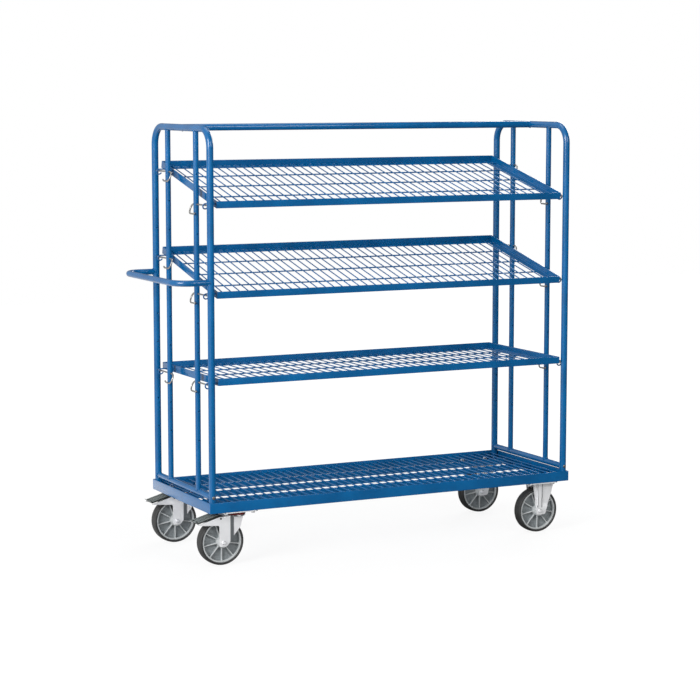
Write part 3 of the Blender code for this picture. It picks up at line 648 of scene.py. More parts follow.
# %% Hoops and uprights
for end, x in posts_x.items():
    corners = [
        (x, -post_y, post_foot),
        (x, -post_y, hoop_top),
        (x, post_y, hoop_top),
        (x, post_y, post_foot),
    ]
    path = rounded(corners, hoop_bend, steps=16)
    length = float(np.linalg.norm(np.diff(path, axis=0), axis=1).sum())
    drops = hole_heights - post_foot
    # With the x axis as the steady one, the turn 0 faces the inside of the hoop
    inside = 0.0
    holes = [(float(along), inside) for along in (*drops, *(length - drops))]
    skin = Skin()
    drilled_tube(skin, path, post_radius, x_axis, holes, hole_radius)
    make_piece("hoop_" + end, skin, "chassis", ["end_hoop_" + end], blue)

    for side, sign in sides.items():
        y = sign * upright_y
        path = np.array([(x, y, foot_tube_z), (x, y, hoop_top)])
        drops = hole_heights - foot_tube_z
        holes = [(float(drop), turn) for drop in drops for turn in (0.0, math.pi)]
        skin = Skin()
        drilled_tube(skin, path, upright_radius, x_axis, holes, hole_radius)
        node = "upright_" + end + "_" + side
        make_piece("tube_" + node, skin, "chassis", [node], blue)

# %% Cross tubes and push handle
for end, x in posts_x.items():
    skin = Skin()
    sweep(skin, [(x, -post_y, foot_tube_z), (x, post_y, foot_tube_z)], circle(foot_tube_radius, 40), x_axis)
    make_piece("cross_tube_" + end, skin, "chassis", ["foot_tube_" + end], blue)

skin = Skin()
sweep(skin, [(x, 0, hoop_top) for x in posts_x.values()], circle(post_radius, 48), z_axis)
make_piece("top_tube", skin, "chassis", ["tie_tube"], blue)

corners = [
    (posts_x["left"], -post_y, handle_z),
    (handle_far_x, -post_y, handle_z),
    (handle_far_x, post_y, handle_z),
    (posts_x["left"], post_y, handle_z),
]
skin = Skin()
sweep(skin, rounded(corners, handle_bend, steps=20), circle(handle_radius, 40), z_axis)
make_piece("handle", skin, "chassis", ["push_handle"], blue)

# %% Welds of the end frames
for end, x in posts_x.items():
    skin = Skin()
    inward = x_axis if end == "left" else -x_axis
    for sign in sides.values():
        post = np.array([x, sign * post_y, 0.0])
        upright = np.array([x, sign * upright_y, 0.0])
        weld_bead(skin, post + foot_tube_z * z_axis, z_axis, post_radius, -sign * y_axis, foot_tube_radius)
        weld_bead(skin, upright + foot_tube_z * z_axis, y_axis, foot_tube_radius, z_axis, upright_radius)
        weld_bead(skin, upright + hoop_top * z_axis, y_axis, post_radius, -z_axis, upright_radius)
        if end == "left":
            weld_bead(skin, post + handle_z * z_axis, z_axis, post_radius, -x_axis, handle_radius)
    weld_bead(skin, np.array([x, 0.0, hoop_top]), y_axis, post_radius, inward, post_radius * 0.97)
    make_piece("frame_welds_" + end, skin, "chassis", [], blue)

# %% [markdown]
# ## Rings of angle steel
#
# The base frame and each shelf are rings of L-shaped steel, mitred and welded at the corners. The
# L has a sharp heel, small round toes and a fillet in its root, as rolled steel has. Its outline is
# given as how far in from the ring's outer face each point lies and how high it is, and is
# carried round the rectangle: point = corner of the rectangle at that distance in.


# %% Angle-steel rings
def angle_outline(height, width, wall):
    """The outline of an L section as (inset, height) points: standing leg outside, lying leg below."""
    toe = wall * 0.45
    corners = [(0, 0), (0, height), (wall, height), (wall, wall), (width, wall), (width, 0)]
    radii = [0.0008, wall * 0.2, toe, wall * 0.9, toe, wall * 0.2]
    return rounded(corners, radii, steps=4, closed=True)


def steel_ring(skin, length, depth, height, width, wall, corner_radius=0.0015, steps=4, side_width=1.0):
    """A ring of angle steel whose underside is at height zero.

    At a corner with centre c of its rounding, a point at inset d lies at
    c + max(r - d, 0) * (cos a, sin a), or at c - (d - r) * (sign x, sign y) where d is more than r.
    On the long sides d is at most side_width.
    """
    outline = angle_outline(height, width, wall)
    inset = outline[:, 0]
    turn = np.linspace(0.0, math.pi / 2, steps)
    rows = []
    for quarter, (sign_x, sign_y) in enumerate(((1, 1), (-1, 1), (-1, -1), (1, -1))):
        angle = turn[:, None] + quarter * math.pi / 2
        reach = np.maximum(corner_radius - inset, 0.0)
        back = np.maximum(inset - corner_radius, 0.0)
        side_back = np.minimum(back, side_width - corner_radius)
        x = sign_x * (length / 2 - corner_radius) + reach * np.cos(angle) - back * sign_x
        y = sign_y * (depth / 2 - corner_radius) + reach * np.sin(angle) - side_back * sign_y
        rows.append(at(x, y, outline[:, 1]))
    grid = np.concatenate(rows + [rows[0][:1]])
    skin.add(grid, closed=True)


base_z = 0.198
base_length = 1.500
base_depth = 0.555
base_height = 0.038
base_width = 0.038
base_wall = 0.004

skin = Skin()
steel_ring(skin, base_length, base_depth, base_height, base_width, base_wall, side_width=base_wall)
skin.points = [points + np.array([frame_middle, 0.0, base_z]) for points in skin.points]
make_piece("base_ring", skin, "chassis", ["base_frame"], blue)

# %% [markdown]
# ## Many wires at once
#
# The deck and the shelves hold about 170 straight wires. One wire is a small tube with rounded
# ends. All wires of a set are computed as one array of shape (wires, rings, sides, 3), so there is
# no loop over wires, and each has only a few dozen faces. Where a wire lies on a bar, resistance
# welding leaves a small bulge, which is a flat drop of metal.


# %% Wires and weld drops
wire_sides = 10
wire_pitch = 0.034


def straight_wires(skin, starts, ends, radius, across, edge=0.0006):
    """Straight wires between rows of start and end points.

    point = place(i) + radius * scale(i) * (cos(turn) * across + sin(turn) * up), up = ahead x across.
    """
    starts = np.asarray(starts, float)
    ends = np.asarray(ends, float)
    ahead = unit(ends - starts)
    across = np.broadcast_to(np.asarray(across, float), ahead.shape)
    up = np.cross(ahead, across)
    bend = np.linspace(0.0, math.pi / 2, 3)
    growing = 1 - edge / radius * (1 - np.sin(bend))
    shrinking = 1 - edge / radius * (1 - np.cos(bend))
    scale = np.concatenate([[0.0], growing, shrinking, [0.0]])
    step = np.concatenate([[0.0], edge * (1 - np.cos(bend))])[:, None]
    first = starts[:, None] + ahead[:, None] * step
    last = ends[:, None] - ahead[:, None] * step[::-1]
    along = np.concatenate([first, last], axis=1)
    profile = circle(radius, wire_sides)
    out = profile[:, :1] * across[:, None] + profile[:, 1:] * up[:, None]
    skin.add(along[:, :, None] + scale[None, :, None, None] * out[:, None], closed=True)


def drops(skin, places, size):
    """Small flattened balls: point = place + size * (cos(v) cos(w), cos(v) sin(w), sin(v))."""
    rise = np.linspace(-math.pi / 2, math.pi / 2, 5)[:, None]
    turn = np.linspace(0.0, 2 * math.pi, 8, endpoint=False)[None]
    ball = np.stack([np.cos(rise) * np.cos(turn), np.cos(rise) * np.sin(turn), np.sin(rise) + 0 * turn], -1)
    skin.add(np.asarray(places, float)[:, None, None] + ball * np.asarray(size, float), closed=True)


def crossings(xs, ys, z):
    """The places where lines along x and lines along y cross, all at one height."""
    cross_x, cross_y = (line.ravel() for line in np.meshgrid(xs, ys))
    return at(cross_x, cross_y, z)


def flat_bar(skin, start, end, thickness, height, round_by=0.0005, edge=0.0004):
    """A flat bar along x with rounded edges, between two points of its middle line."""
    outline = rounded(rectangle(thickness / 2, height / 2), round_by, steps=3, closed=True)
    sweep(skin, [start, end], outline, z_axis, edge)


# %% [markdown]
# ## The deck
#
# Three flat bars stand on edge along the base frame, and a wire lies across them every 34 mm. The
# white floor shows between the bars as bright bands, and from those their height was found.

# %% Deck
deck_low, deck_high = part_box("deck_grid")
wire_radius = 0.0025
wire_z = deck_high[2] - wire_radius
bar_height = 0.022
bar_thickness = 0.005
bar_z = deck_high[2] - 2 * wire_radius - bar_height / 2
bar_step = (base_depth - 2 * base_wall) / 4
post_inset = posts_x["left"] - (frame_middle - base_length / 2)
posts_clear = post_inset + post_radius + 2 * wire_radius
deck_span = base_length - 2 * posts_clear
deck_gaps = round(deck_span / wire_pitch)
wires_x = frame_middle + np.linspace(-deck_span / 2, deck_span / 2, deck_gaps + 1)
bar_drop = (0.0036, 0.0036, 0.0012)
end_drop = (0.0036, 0.0006, 0.0034)

skin = Skin()
low_y, high_y = deck_low[1], deck_high[1]
starts = at(wires_x, low_y, wire_z)
straight_wires(skin, starts, starts + (high_y - low_y) * y_axis, wire_radius, x_axis)
bars_y = np.array([-bar_step, 0.0, bar_step])
drops(skin, crossings(wires_x, bars_y, wire_z - wire_radius), bar_drop)
ends_y = np.array([low_y + end_drop[1], high_y - end_drop[1]])
drops(skin, crossings(wires_x, ends_y, wire_z), end_drop)
make_piece("deck_wires", skin, "chassis", ["deck_grid"], blue)

bars = {"front": -bar_step, "middle": 0.0, "rear": bar_step}
for name, y in bars.items():
    skin = Skin()
    start = (deck_low[0], y, bar_z)
    end = (deck_high[0], y, bar_z)
    flat_bar(skin, start, end, bar_thickness, bar_height)
    node = "deck_grid" if name == "middle" else "deck_bearer_" + name
    make_piece("deck_bar_" + name, skin, "chassis", [node], blue)

# %% [markdown]
# ## The shelves
#
# A shelf is a ring of small angle steel. Three long wires run under the cross wires, and the wires
# are welded to the lying legs. At each corner a bent wire hook reaches out of the shelf's end and
# hangs over a pin. Each shelf is worked out lying level round its own middle, then turned about
# its long axis and lifted to its place: y' = y cos(t) - z sin(t), z' = y sin(t) + z cos(t).

# %% Shelf sizes
shelf_length = 1.4184
shelf_depth = 0.535
shelf_height = 0.026
shelf_width = 0.025
shelf_wall = 0.003
shelf_wire_radius = 0.00225
shelf_long_radius = 0.0025
hook_radius = 0.0025
hook_eye = 0.0095
hook_seat = 0.0058
hook_span = 0.451
hook_shank = 0.030
shelf_end_gap = 0.024
wire_short = 0.003
wire_lift = 0.0003
weld_sink = 0.0004
long_drop = (0.003, 0.003, 0.0016)
leg_drop = (0.0034, 0.0034, 0.0012)
shank_drop = (0.0026, 0.0042, 0.0016)
shank_drops = 13
shelf_rows = {"lower": (2, 2), "middle": (5, 6), "upper": (8, 9)}


def hang(skin, level):
    """Turn and lift a level shelf to where it hangs."""
    front, rear = (hole_heights[row] for row in shelf_rows[level])
    tilt = math.asin((rear - front) / hook_span)
    seat_z = (front + rear) / 2 + hook_seat
    turn = turn_matrix(tilt, 1, 2)
    place = np.array([frame_middle, math.sin(tilt) * hook_seat, seat_z - math.cos(tilt) * hook_seat])
    skin.points = [points @ turn.T + place for points in skin.points]


def hook_line(end_sign, y):
    """A hook's line: a shank on the lying leg, out through the end, over the pin and round under it."""
    eye_x = shelf_length / 2 + shelf_end_gap
    eye_z = hook_seat - hook_eye
    turn = np.linspace(math.pi / 2, -math.radians(160), 26)
    x = np.concatenate([[shelf_length / 2 - hook_shank], eye_x + hook_eye * np.cos(turn)])
    z = np.concatenate([[hook_seat], eye_z + hook_eye * np.sin(turn)])
    return at(end_sign * x, y, z)


# %% Shelves
for level in shelf_rows:
    skin = Skin()
    steel_ring(skin, shelf_length, shelf_depth, shelf_height, shelf_width, shelf_wall, corner_radius=0.0012)
    hang(skin, level)
    make_piece("shelf_ring_" + level, skin, "shelf_" + level, ["shelf_frame_" + level], blue)

    skin = Skin()
    span = shelf_length - 2 * shelf_width - wire_pitch
    xs = np.linspace(-span / 2, span / 2, round(span / wire_pitch) + 1)
    reach = shelf_depth / 2 - shelf_wall - wire_short
    z = shelf_wall + wire_lift + shelf_wire_radius
    starts = at(xs, -reach, z)
    straight_wires(skin, starts, starts + 2 * reach * y_axis, shelf_wire_radius, x_axis)
    long_y = np.array([-1.0, 0.0, 1.0]) * (shelf_depth - 2 * shelf_wall) / 4
    long_x = shelf_length / 2 - shelf_width + 0.001
    long_z = z - shelf_wire_radius - shelf_long_radius + weld_sink
    starts = at(-long_x, long_y, long_z)
    straight_wires(skin, starts, starts + 2 * long_x * x_axis, shelf_long_radius, y_axis)
    drops(skin, crossings(xs, long_y, z - shelf_wire_radius), long_drop)
    leg_y = np.array([-1.0, 1.0]) * (shelf_depth / 2 - shelf_width + 0.003)
    drops(skin, crossings(xs, leg_y, shelf_wall), leg_drop)
    hang(skin, level)
    make_piece("shelf_wires_" + level, skin, "shelf_" + level, ["shelf_grid_" + level], blue)

    skin = Skin()
    for end_sign in (-1.0, 1.0):
        for sign in sides.values():
            line = hook_line(end_sign, sign * hook_span / 2)
            sweep(skin, line, circle(hook_radius, 14), y_axis, edge=0.0006)
            along = np.linspace(0.002, hook_shank - 0.008, shank_drops)[:, None]
            shank = line[0] + end_sign * along * x_axis
            drops(skin, shank - 0.0022 * z_axis, shank_drop)
    hang(skin, level)
    make_piece("shelf_hooks_" + level, skin, "shelf_" + level, ["shelf_frame_" + level], blue)

# %% [markdown]
# ## The pins
#
# A pin is one piece of zinc-plated wire, 6 mm thick. Its straight leg goes through the upright and
# the hook and ends in the post. Then it turns back in a bow beside the upright and ends in a short
# kicked-up tail, which keeps it from sliding out. Pulling the bow inboard frees the shelf.

# %% Pins
pin_radius = 0.003
pin_reach = post_y - upright_y
bow_start = pin_reach + upright_radius + 0.012
bow_radius = 0.017
side_shift = upright_radius + pin_radius + 0.0003
tail_end = pin_reach - upright_radius - 0.008
tail_kick = 0.009


def pin_line(inboard):
    """The pin's line from its tip: straight, a half turn down and aside, back, and the kicked tail.

    In the bow, along = start + r sin(w), drop = r (1 - cos(w)), aside = shift (1 - cos(w)) / 2.
    """
    turn = np.linspace(0.0, math.pi, 24)[:, None]
    bow = np.concatenate(
        [
            -side_shift * (1 - np.cos(turn)) / 2,
            inboard * (bow_start + bow_radius * np.sin(turn)),
            -bow_radius * (1 - np.cos(turn)),
        ],
        axis=1,
    )
    low = -2 * bow_radius
    tail = rounded(
        [
            (-side_shift, inboard * bow_start, low),
            (-side_shift, inboard * (tail_end + tail_kick), low),
            (-side_shift, inboard * tail_end, low + tail_kick / 2),
        ],
        0.009,
        steps=6,
    )
    return np.concatenate([[(0.0, 0.0, 0.0), (0.0, inboard * bow_start * 0.9, 0.0)], bow, tail[1:]])


for level, rows in shelf_rows.items():
    for (side, sign), row in zip(sides.items(), rows):
        for end, x in posts_x.items():
            skin = Skin()
            place = np.array([x, sign * post_y, hole_heights[row]])
            sweep(skin, pin_line(-sign) + place, circle(pin_radius, 18), x_axis, edge=0.001)
            name = "_".join((level, end, side))
            make_piece("wire_pin_" + name, skin, "pin_" + name, ["shelf_pin_" + name], wire_zinc)

# %% [markdown]
# ## Turned pieces, plates with holes and hexagon nuts
#
# A turned piece is a profile of radius and height carried round an axis. A plate with a hole is a
# ring between its border and the hole: both outlines are cut by the same rays from the hole's
# middle, so border and hole have equal numbers of points. A hexagon head is a turned piece whose
# radius follows the hexagon, cut back by a cone at its rim as the real chamfer is.


# %% Turned pieces and hexagons
aside = np.array([0.31, 0.17, 0.93])


def square_to(axis):
    """An axis at length one and the two directions square to it."""
    axis = unit(np.asarray(axis, float))
    across = unit(np.cross(axis, aside) if abs(axis[1]) < 0.9 else x_axis)
    return axis, across, np.cross(axis, across)


def turned(skin, profile, place, axis, sides_count):
    """point = place + height * axis + radius * (cos(w) * across + sin(w) * up), up = axis x across."""
    profile = np.asarray(profile, float)
    axis, across, up = square_to(axis)
    turn = np.linspace(0.0, 2 * math.pi, sides_count, endpoint=False)
    out = np.cos(turn)[:, None] * across + np.sin(turn)[:, None] * up
    grid = profile[:, 1, None, None] * axis + profile[:, 0, None, None] * out
    skin.add(np.asarray(place, float) + grid, closed=True)


def rod(skin, place, half_length, radius, bevel, sides_count, chamfer=0.0006):
    """A round rod along y with chamfered ends, given by its middle."""
    near = [(0.0, -half_length), (radius - chamfer, -half_length), (radius, bevel - half_length)]
    profile = near + [(distance, -height) for distance, height in near[::-1]]
    turned(skin, profile, place, y_axis, sides_count)


def hexagon(skin, place, axis, width, height, start=0.0):
    """A hexagon head or nut: radius = min(width / 2 / cos(w to the nearest flat), chamfer cone)."""
    axis, across, up = square_to(axis)
    turn = np.linspace(0.0, 2 * math.pi, 48, endpoint=False)
    to_flat = (turn + math.pi / 6) % (math.pi / 3) - math.pi / 6
    flat = width / 2 / np.cos(to_flat)
    levels = np.array([0.0, 0.0, 0.04, 0.7, 0.8, 0.9, 1.0, 1.0]) * height
    cone = np.array([0.0, 1.12, 1.2, 1.2, 1.14, 1.07, 0.97, 0.0]) * width / 2
    radius = np.minimum(flat[None], cone[:, None])
    turn = turn + start
    out = np.cos(turn)[:, None] * across + np.sin(turn)[:, None] * up
    grid = levels[:, None, None] * axis + radius[..., None] * out
    skin.add(np.asarray(place, float) + grid, closed=True)


def washer(skin, place, axis, bore, radius, height):
    """A round washer with a broken edge."""
    rim = 0.2 * height
    profile = [
        (bore, 0.0),
        (radius - rim, 0.0),
        (radius, rim),
        (radius, height - rim),
        (radius - rim, height),
        (bore, height),
        (bore, 0.0),
    ]
    turned(skin, profile, place, axis, 32)


# %% Plates with holes
slot_radius = 0.0045


def ray_outline(corners, centre, turns):
    """Where rays from a centre meet a convex outline: distance = min of n.(p - c) / n.d over its sides."""
    corners = np.asarray(corners, float)
    along = np.roll(corners, -1, axis=0) - corners
    keep = np.linalg.norm(along, axis=1) > seam
    corners = corners[keep]
    along = along[keep]
    normal = unit(np.stack([along[:, 1], -along[:, 0]], -1))
    rays = np.stack([np.cos(turns), np.sin(turns)], -1)
    reach = (normal * (corners - centre)).sum(-1)
    speed = rays @ normal.T
    distance = np.where(speed > 1e-9, reach / np.maximum(speed, 1e-9), np.inf).min(axis=1)
    return centre + rays * distance[:, None]


def slotted_plate(skin, length, width, thickness, corner, slot_place, slot_length, place):
    """A plate with rounded corners and four slots, made as four panels that meet on its middle lines."""
    outline = rounded(rectangle(length / 2, width / 2), corner, steps=6, closed=True)
    quarter = outline[(outline > -seam).all(axis=1)]
    quarter = np.concatenate([[(0.0, 0.0), (length / 2, 0.0)], quarter, [(0.0, width / 2)]])
    middle = np.asarray(slot_place, float)
    round_end = circle(slot_radius, 20)
    to_end = np.array([(slot_length / 2 - slot_radius, 0.0)])
    slot = round_end + np.sign(round_end[:, :1] + seam) * to_end + middle
    around = [np.arctan2(*(edge - middle).T[::-1]) for edge in (quarter, slot)]
    turns = np.unique(np.round(np.concatenate(around), 9))
    border = ray_outline(quarter, middle, turns)
    hole = ray_outline(slot, middle, turns)
    high = np.full((len(turns), 1), 0.0)
    low = high - thickness
    walls = ((border, high), (hole, high), (hole, low), (border, low))
    panel = np.stack([np.hstack(wall) for wall in walls])
    outer = panel[[3, 0]]
    following = np.roll(border, -1, axis=0)
    inner_x = (np.abs(border[:, 0]) < seam) & (np.abs(following[:, 0]) < seam)
    inner_y = (np.abs(border[:, 1]) < seam) & (np.abs(following[:, 1]) < seam)
    outside = ~(inner_x | inner_y)
    for sign_x in (-1, 1):
        for sign_y in (-1, 1):
            mirror = np.array([sign_x, sign_y, 1.0])
            skin.add(panel * mirror + place, closed=True)
            skin.add(outer * mirror + place, closed=True, keep=outside[None])


def soften(thing, width, steps=2):
    """Round a piece's edges with a bevel."""
    bevel = thing.modifiers.new("rounded_edges", "BEVEL")
    bevel.width = width
    bevel.segments = steps
    bevel.limit_method = "ANGLE"
    bevel.angle_limit = math.radians(35)
    bevel.harden_normals = True


print("turned pieces, plates and nuts ready")

# %% [markdown]
# ## The foot bolts
#
# A bolt goes in from outside near the foot of each post, level with the cross tube. Only its head
# shows.

# %% Foot bolts
bolt_face = post_y + post_radius + 0.0003
foot_washer = 0.0062
foot_washer_height = 0.0010
foot_head = 0.0088
foot_head_height = 0.0028
for end, x in posts_x.items():
    for side, sign in sides.items():
        place = np.array([x, sign * bolt_face, foot_tube_z])
        skin = Skin()
        out = sign * y_axis
        washer(skin, place, out, 0.0, foot_washer, foot_washer_height)
        hexagon(skin, place + foot_washer_height * out, out, foot_head, foot_head_height, start=0.3)
        name = end + "_" + side
        make_piece("bolt_head_" + name, skin, "chassis", ["foot_bolt_" + name], wire_zinc)

# %% [markdown]
# ## Caster plates and their bolts
#
# Each caster is screwed under the frame with four bolts through slots, so it can be shifted a
# little. The heads are below, where a spanner reaches them, and the nuts lie on the frame's legs.

# %% Caster sizes
swivel_x = -0.5675
axles_x = {"left": -0.6275, "right": 0.6965}
axle_z = 0.085
plate_length = 0.135
plate_width = 0.110
plate_thickness = 0.004
plate_top = 0.1977
plate_corner = 0.009
slot_x = 0.0525
slot_y = 0.040
slot_length = 0.012
plate_bolt = 0.013
head_height = 0.0052
nut_height = 0.006
nut_seat = 0.0045
stud_radius = 0.004
stud_height = 0.0112
stud_taper = 0.0105
plate_washer = 0.008
washer_height = 0.0014
arm_inside = 0.0303
arm_outside = 0.0338
sheet = 0.0030
wheel_radius = 0.085
crown_top = 0.1816
corner_reach = {"left": 0.1895, "right": 0.1815}
corner_depth = 0.111

# %% Plates and bolts
stud = [
    (0.0, 0.0),
    (stud_radius, 0.0),
    (stud_radius, stud_taper),
    (0.85 * stud_radius, stud_height),
    (0.0, stud_height),
]
for end, x in (("left", swivel_x), ("right", axles_x["right"])):
    for side, sign in sides.items():
        middle = np.array([x, sign * caster_y, plate_top])
        skin = Skin()
        sizes = (plate_length, plate_width, plate_thickness, plate_corner)
        slotted_plate(skin, *sizes, (slot_x, slot_y), slot_length, middle)
        node = ("caster_plate_left_" if end == "left" else "fixed_fork_right_") + side
        plate = make_piece("top_plate_" + end + "_" + side, skin, "chassis", [node], zinc, 180.0)
        soften(plate, 0.0006)

        skin = Skin()
        for bolt_x in (-slot_x, slot_x):
            for bolt_y in (-slot_y, slot_y):
                under = middle + np.array([bolt_x, bolt_y, -plate_thickness])
                washer(skin, under, -z_axis, 0.0, plate_washer, washer_height)
                hexagon(skin, under - washer_height * z_axis, -z_axis, plate_bolt, head_height, start=0.4)
                over = middle + np.array([bolt_x, bolt_y, nut_seat])
                washer(skin, over, z_axis, 0.0, plate_washer, washer_height)
                hexagon(skin, over + washer_height * z_axis, z_axis, plate_bolt, nut_height, start=0.2)
                turned(skin, stud, over, z_axis, 20)
        make_piece("plate_bolts_" + end + "_" + side, skin, "chassis", [], zinc)

# %% Corner plates of the base frame
in_wall = base_wall * 0.6
for end, reach in corner_reach.items():
    skin = Skin()
    end_sign = -1.0 if end == "left" else 1.0
    inner_x, outer_x = (frame_middle + end_sign * (base_length / 2 - inset) for inset in (reach, in_wall))
    for sign in sides.values():
        y = sign * (base_depth / 2 - (corner_depth + in_wall) / 2)
        start = (inner_x, y, base_z + base_wall / 2)
        stop = (outer_x, y, base_z + base_wall / 2)
        flat_bar(skin, start, stop, corner_depth - in_wall, base_wall - 0.0004, 0.0012, 0.0006)
    make_piece("corner_plates_" + end, skin, "chassis", ["base_frame"], blue)

# %% [markdown]
# ## Swivel heads
#
# Between the top plate and the fork runs a ring of bearing balls. It's covered by a dark red dust
# ring with a rolled lip. Below it the fork's head has a pressed race, and the king pin's riveted
# end shows in its middle.

# %% Dust rings
ring_top = 0.1934
ring_radius = 0.037
ring_bore = 0.0087
ring_height = 0.0115
curl_radius = 0.0022

curl = np.linspace(math.pi / 2, -math.pi / 2, 9)
middle = np.array([ring_radius - curl_radius, curl_radius - ring_height])
lip = middle + curl_radius * np.stack([np.cos(curl), np.sin(curl)], -1)
above = [(ring_bore, 0.0), (0.0325, 0.0), (0.0345, -0.0008), (0.0352, -0.0024), (0.0355, -0.0060)]
ring_profile = np.concatenate([above, lip, [(ring_bore, -ring_height), (ring_bore, 0.0)]])
for side, sign in sides.items():
    place = np.array([swivel_x, sign * caster_y, ring_top])
    skin = Skin()
    turned(skin, ring_profile, place, z_axis, 80)
    make_piece("seal_" + side, skin, "chassis", ["dust_ring_left_" + side], ring_red)

# %% [markdown]
# ## The pressed forks
#
# A fork is pressed from one sheet: a head with an arm bent down on each side. An arm isn't flat. Its
# outer strip runs straight down to the axle, and a sloped step leads to a recessed part that
# stiffens it. Each arm is a sheet y(x, z) over a grid of points, and a Solidify modifier gives it
# its thickness.


# %% Sheet helpers
def smooth_step(value, low, high):
    """0 at low, 1 at high, and an S curve between: t * t * (3 - 2 t)."""
    share = np.clip((value - low) / (high - low), 0.0, 1.0)
    return share * share * (3 - 2 * share)


def arc(share):
    """The height of a unit circle at a share of its radius from the middle: sqrt(1 - share^2)."""
    return np.sqrt(np.clip(1 - share**2, 0.0, 1.0))


def make_sheet(name, skin, body, nodes):
    """A pressed piece: its outer face from the skin, its thickness inwards, and rounded edges."""
    thing = make_piece(name, skin, body, nodes, zinc, 180.0)
    wall = thing.modifiers.new("sheet_thickness", "SOLIDIFY")
    wall.thickness = sheet
    wall.offset = 0.0
    wall.use_even_offset = True
    soften(thing, 0.0007)
    return thing


# %% Swivel forks
head_bend = 0.004
strip_left = -0.016
recess = 0.0058
wing_tip = -0.100
wing_tip_z = 0.0715
race_radius = 0.036
race_bore = 0.0083
pin_thick = 0.008
pin_top = 0.0115


def arm_offset(x):
    """How far the arm's middle surface lies in from its outer strip, at a distance from the axle."""
    return recess * smooth_step(x, 0.0240, 0.0440)


def swivel_arm(skin, place, out):
    """One arm with its wing. The place is the axle's middle and out is +1 or -1 along y.

    The arm's right edge slants from the foot to the shoulder and then rises steeply to the head.
    """
    top = crown_top - axle_z - head_bend - sheet / 2
    foot = -0.014
    foot_corner = 0.005
    shoulder_z = 0.0541
    fillet = 0.008
    wing_z = 0.064
    top_right = 0.078
    rise = 0.0035
    wing_rows = np.linspace(wing_z - fillet, top, 16)
    foot_rows = foot + foot_corner * (1 - np.cos(np.linspace(0, math.pi / 2, 6)))
    rows = np.concatenate([foot_rows, np.linspace(0.0, wing_z - fillet, 22)[:-1], wing_rows])
    top_x = np.concatenate([np.linspace(strip_left, 0.0, 7), np.linspace(0.0, top_right, 52)[1:]])
    below = np.clip(foot + foot_corner - rows, 0.0, None) / foot_corner
    left = strip_left + foot_corner * (1 - arc(below))
    levels = [foot, foot + foot_corner, shoulder_z, top]
    right = np.interp(rows, levels, [0.0115, 0.0165, 0.069, top_right])
    share = (top_x - strip_left) / (top_x[-1] - strip_left)
    x = left[:, None] + (right - left)[:, None] * share
    lift = rise * smooth_step(rows, top - 0.020, top)[:, None] * (1 - smooth_step(x, -0.004, 0.001))
    z = rows[:, None] + lift
    y = out * (arm_outside - sheet / 2 - arm_offset(x))
    arm = at(x, y, z)
    skin.add(arm + place)

    # The wing, whose lower edge curves down into the arm
    turn_in = fillet * np.sin(np.linspace(0, math.pi / 2, 7))[1:]
    wing_x = np.concatenate([np.linspace(wing_tip, strip_left - fillet, 24), strip_left - fillet + turn_in])
    low = np.interp(wing_x, [wing_tip, wing_tip + 0.010, strip_left - fillet], [0.0710, 0.0690, wing_z])
    inner = np.clip((wing_x - (strip_left - fillet)) / fillet, 0.0, 1.0)
    low = np.where(wing_x > strip_left - fillet, wing_z - fillet * (1 - arc(inner)), low)
    high = np.interp(wing_x, [wing_tip, strip_left], [wing_tip_z, top + rise])
    share = (wing_rows - wing_rows[0]) / (wing_rows[-1] - wing_rows[0])
    z = low[:, None] + (high - low)[:, None] * share
    skin.add(at(wing_x[:, None], out * (arm_outside - sheet / 2), z) + place)

    # The bend over the top and the head, up to the middle
    columns = top_x[6:]
    start = arm[-1, 6:]
    bend = np.linspace(0.0, math.pi / 2, 7)
    edge_y = start[:, 1]
    rows_y = edge_y[None] - out * head_bend * (1 - np.cos(bend))[:, None]
    rows_z = top + head_bend * np.sin(bend)[:, None] + np.zeros_like(rows_y)
    inward = np.linspace(1.0, 0.0, 6)[1:, None] * rows_y[-1:]
    rows_y = np.concatenate([rows_y, inward])
    rows_z = np.concatenate([rows_z, np.full_like(inward, top + head_bend)])
    skin.add(at(columns[None], rows_y, rows_z) + place)


for side, sign in sides.items():
    axle = np.array([axles_x["left"], sign * caster_y, axle_z])
    skin = Skin()
    swivel_arm(skin, axle, -1.0)
    swivel_arm(skin, axle, 1.0)
    make_sheet("fork_" + side, skin, "caster_" + side, ["swivel_fork_left_" + side])

    # The race: a shallow pressed dish under the dust ring
    place = np.array([swivel_x, sign * caster_y, crown_top])
    bend = np.linspace(math.pi / 2, 0.0, 7)
    edge = race_radius
    shoulder = np.stack([edge - sheet + sheet * np.cos(bend), -sheet + sheet * np.sin(bend)], -1)
    under = [(edge, -0.005), (edge - 0.0015, -0.005), (edge - 0.004, -0.0032), (race_bore, -0.0032)]
    profile = np.concatenate([[(race_bore, 0.0), (0.024, 0.0)], shoulder, under, [(race_bore, 0.0)]])
    skin = Skin()
    turned(skin, profile, place, z_axis, 80)
    make_piece("fork_race_" + side, skin, "caster_" + side, ["swivel_fork_left_" + side], zinc)

    # The king pin's riveted end, seen from below
    skin = Skin()
    riveted = [(pin_thick, -0.0034), (0.0072, -0.0044), (0.004, -0.0050), (0.0, -0.0050)]
    turned(skin, [(0.0, pin_top), (pin_thick, pin_top)] + riveted, place, z_axis, 40)
    make_piece("king_pin_" + side, skin, "chassis", ["caster_plate_left_" + side], zinc)


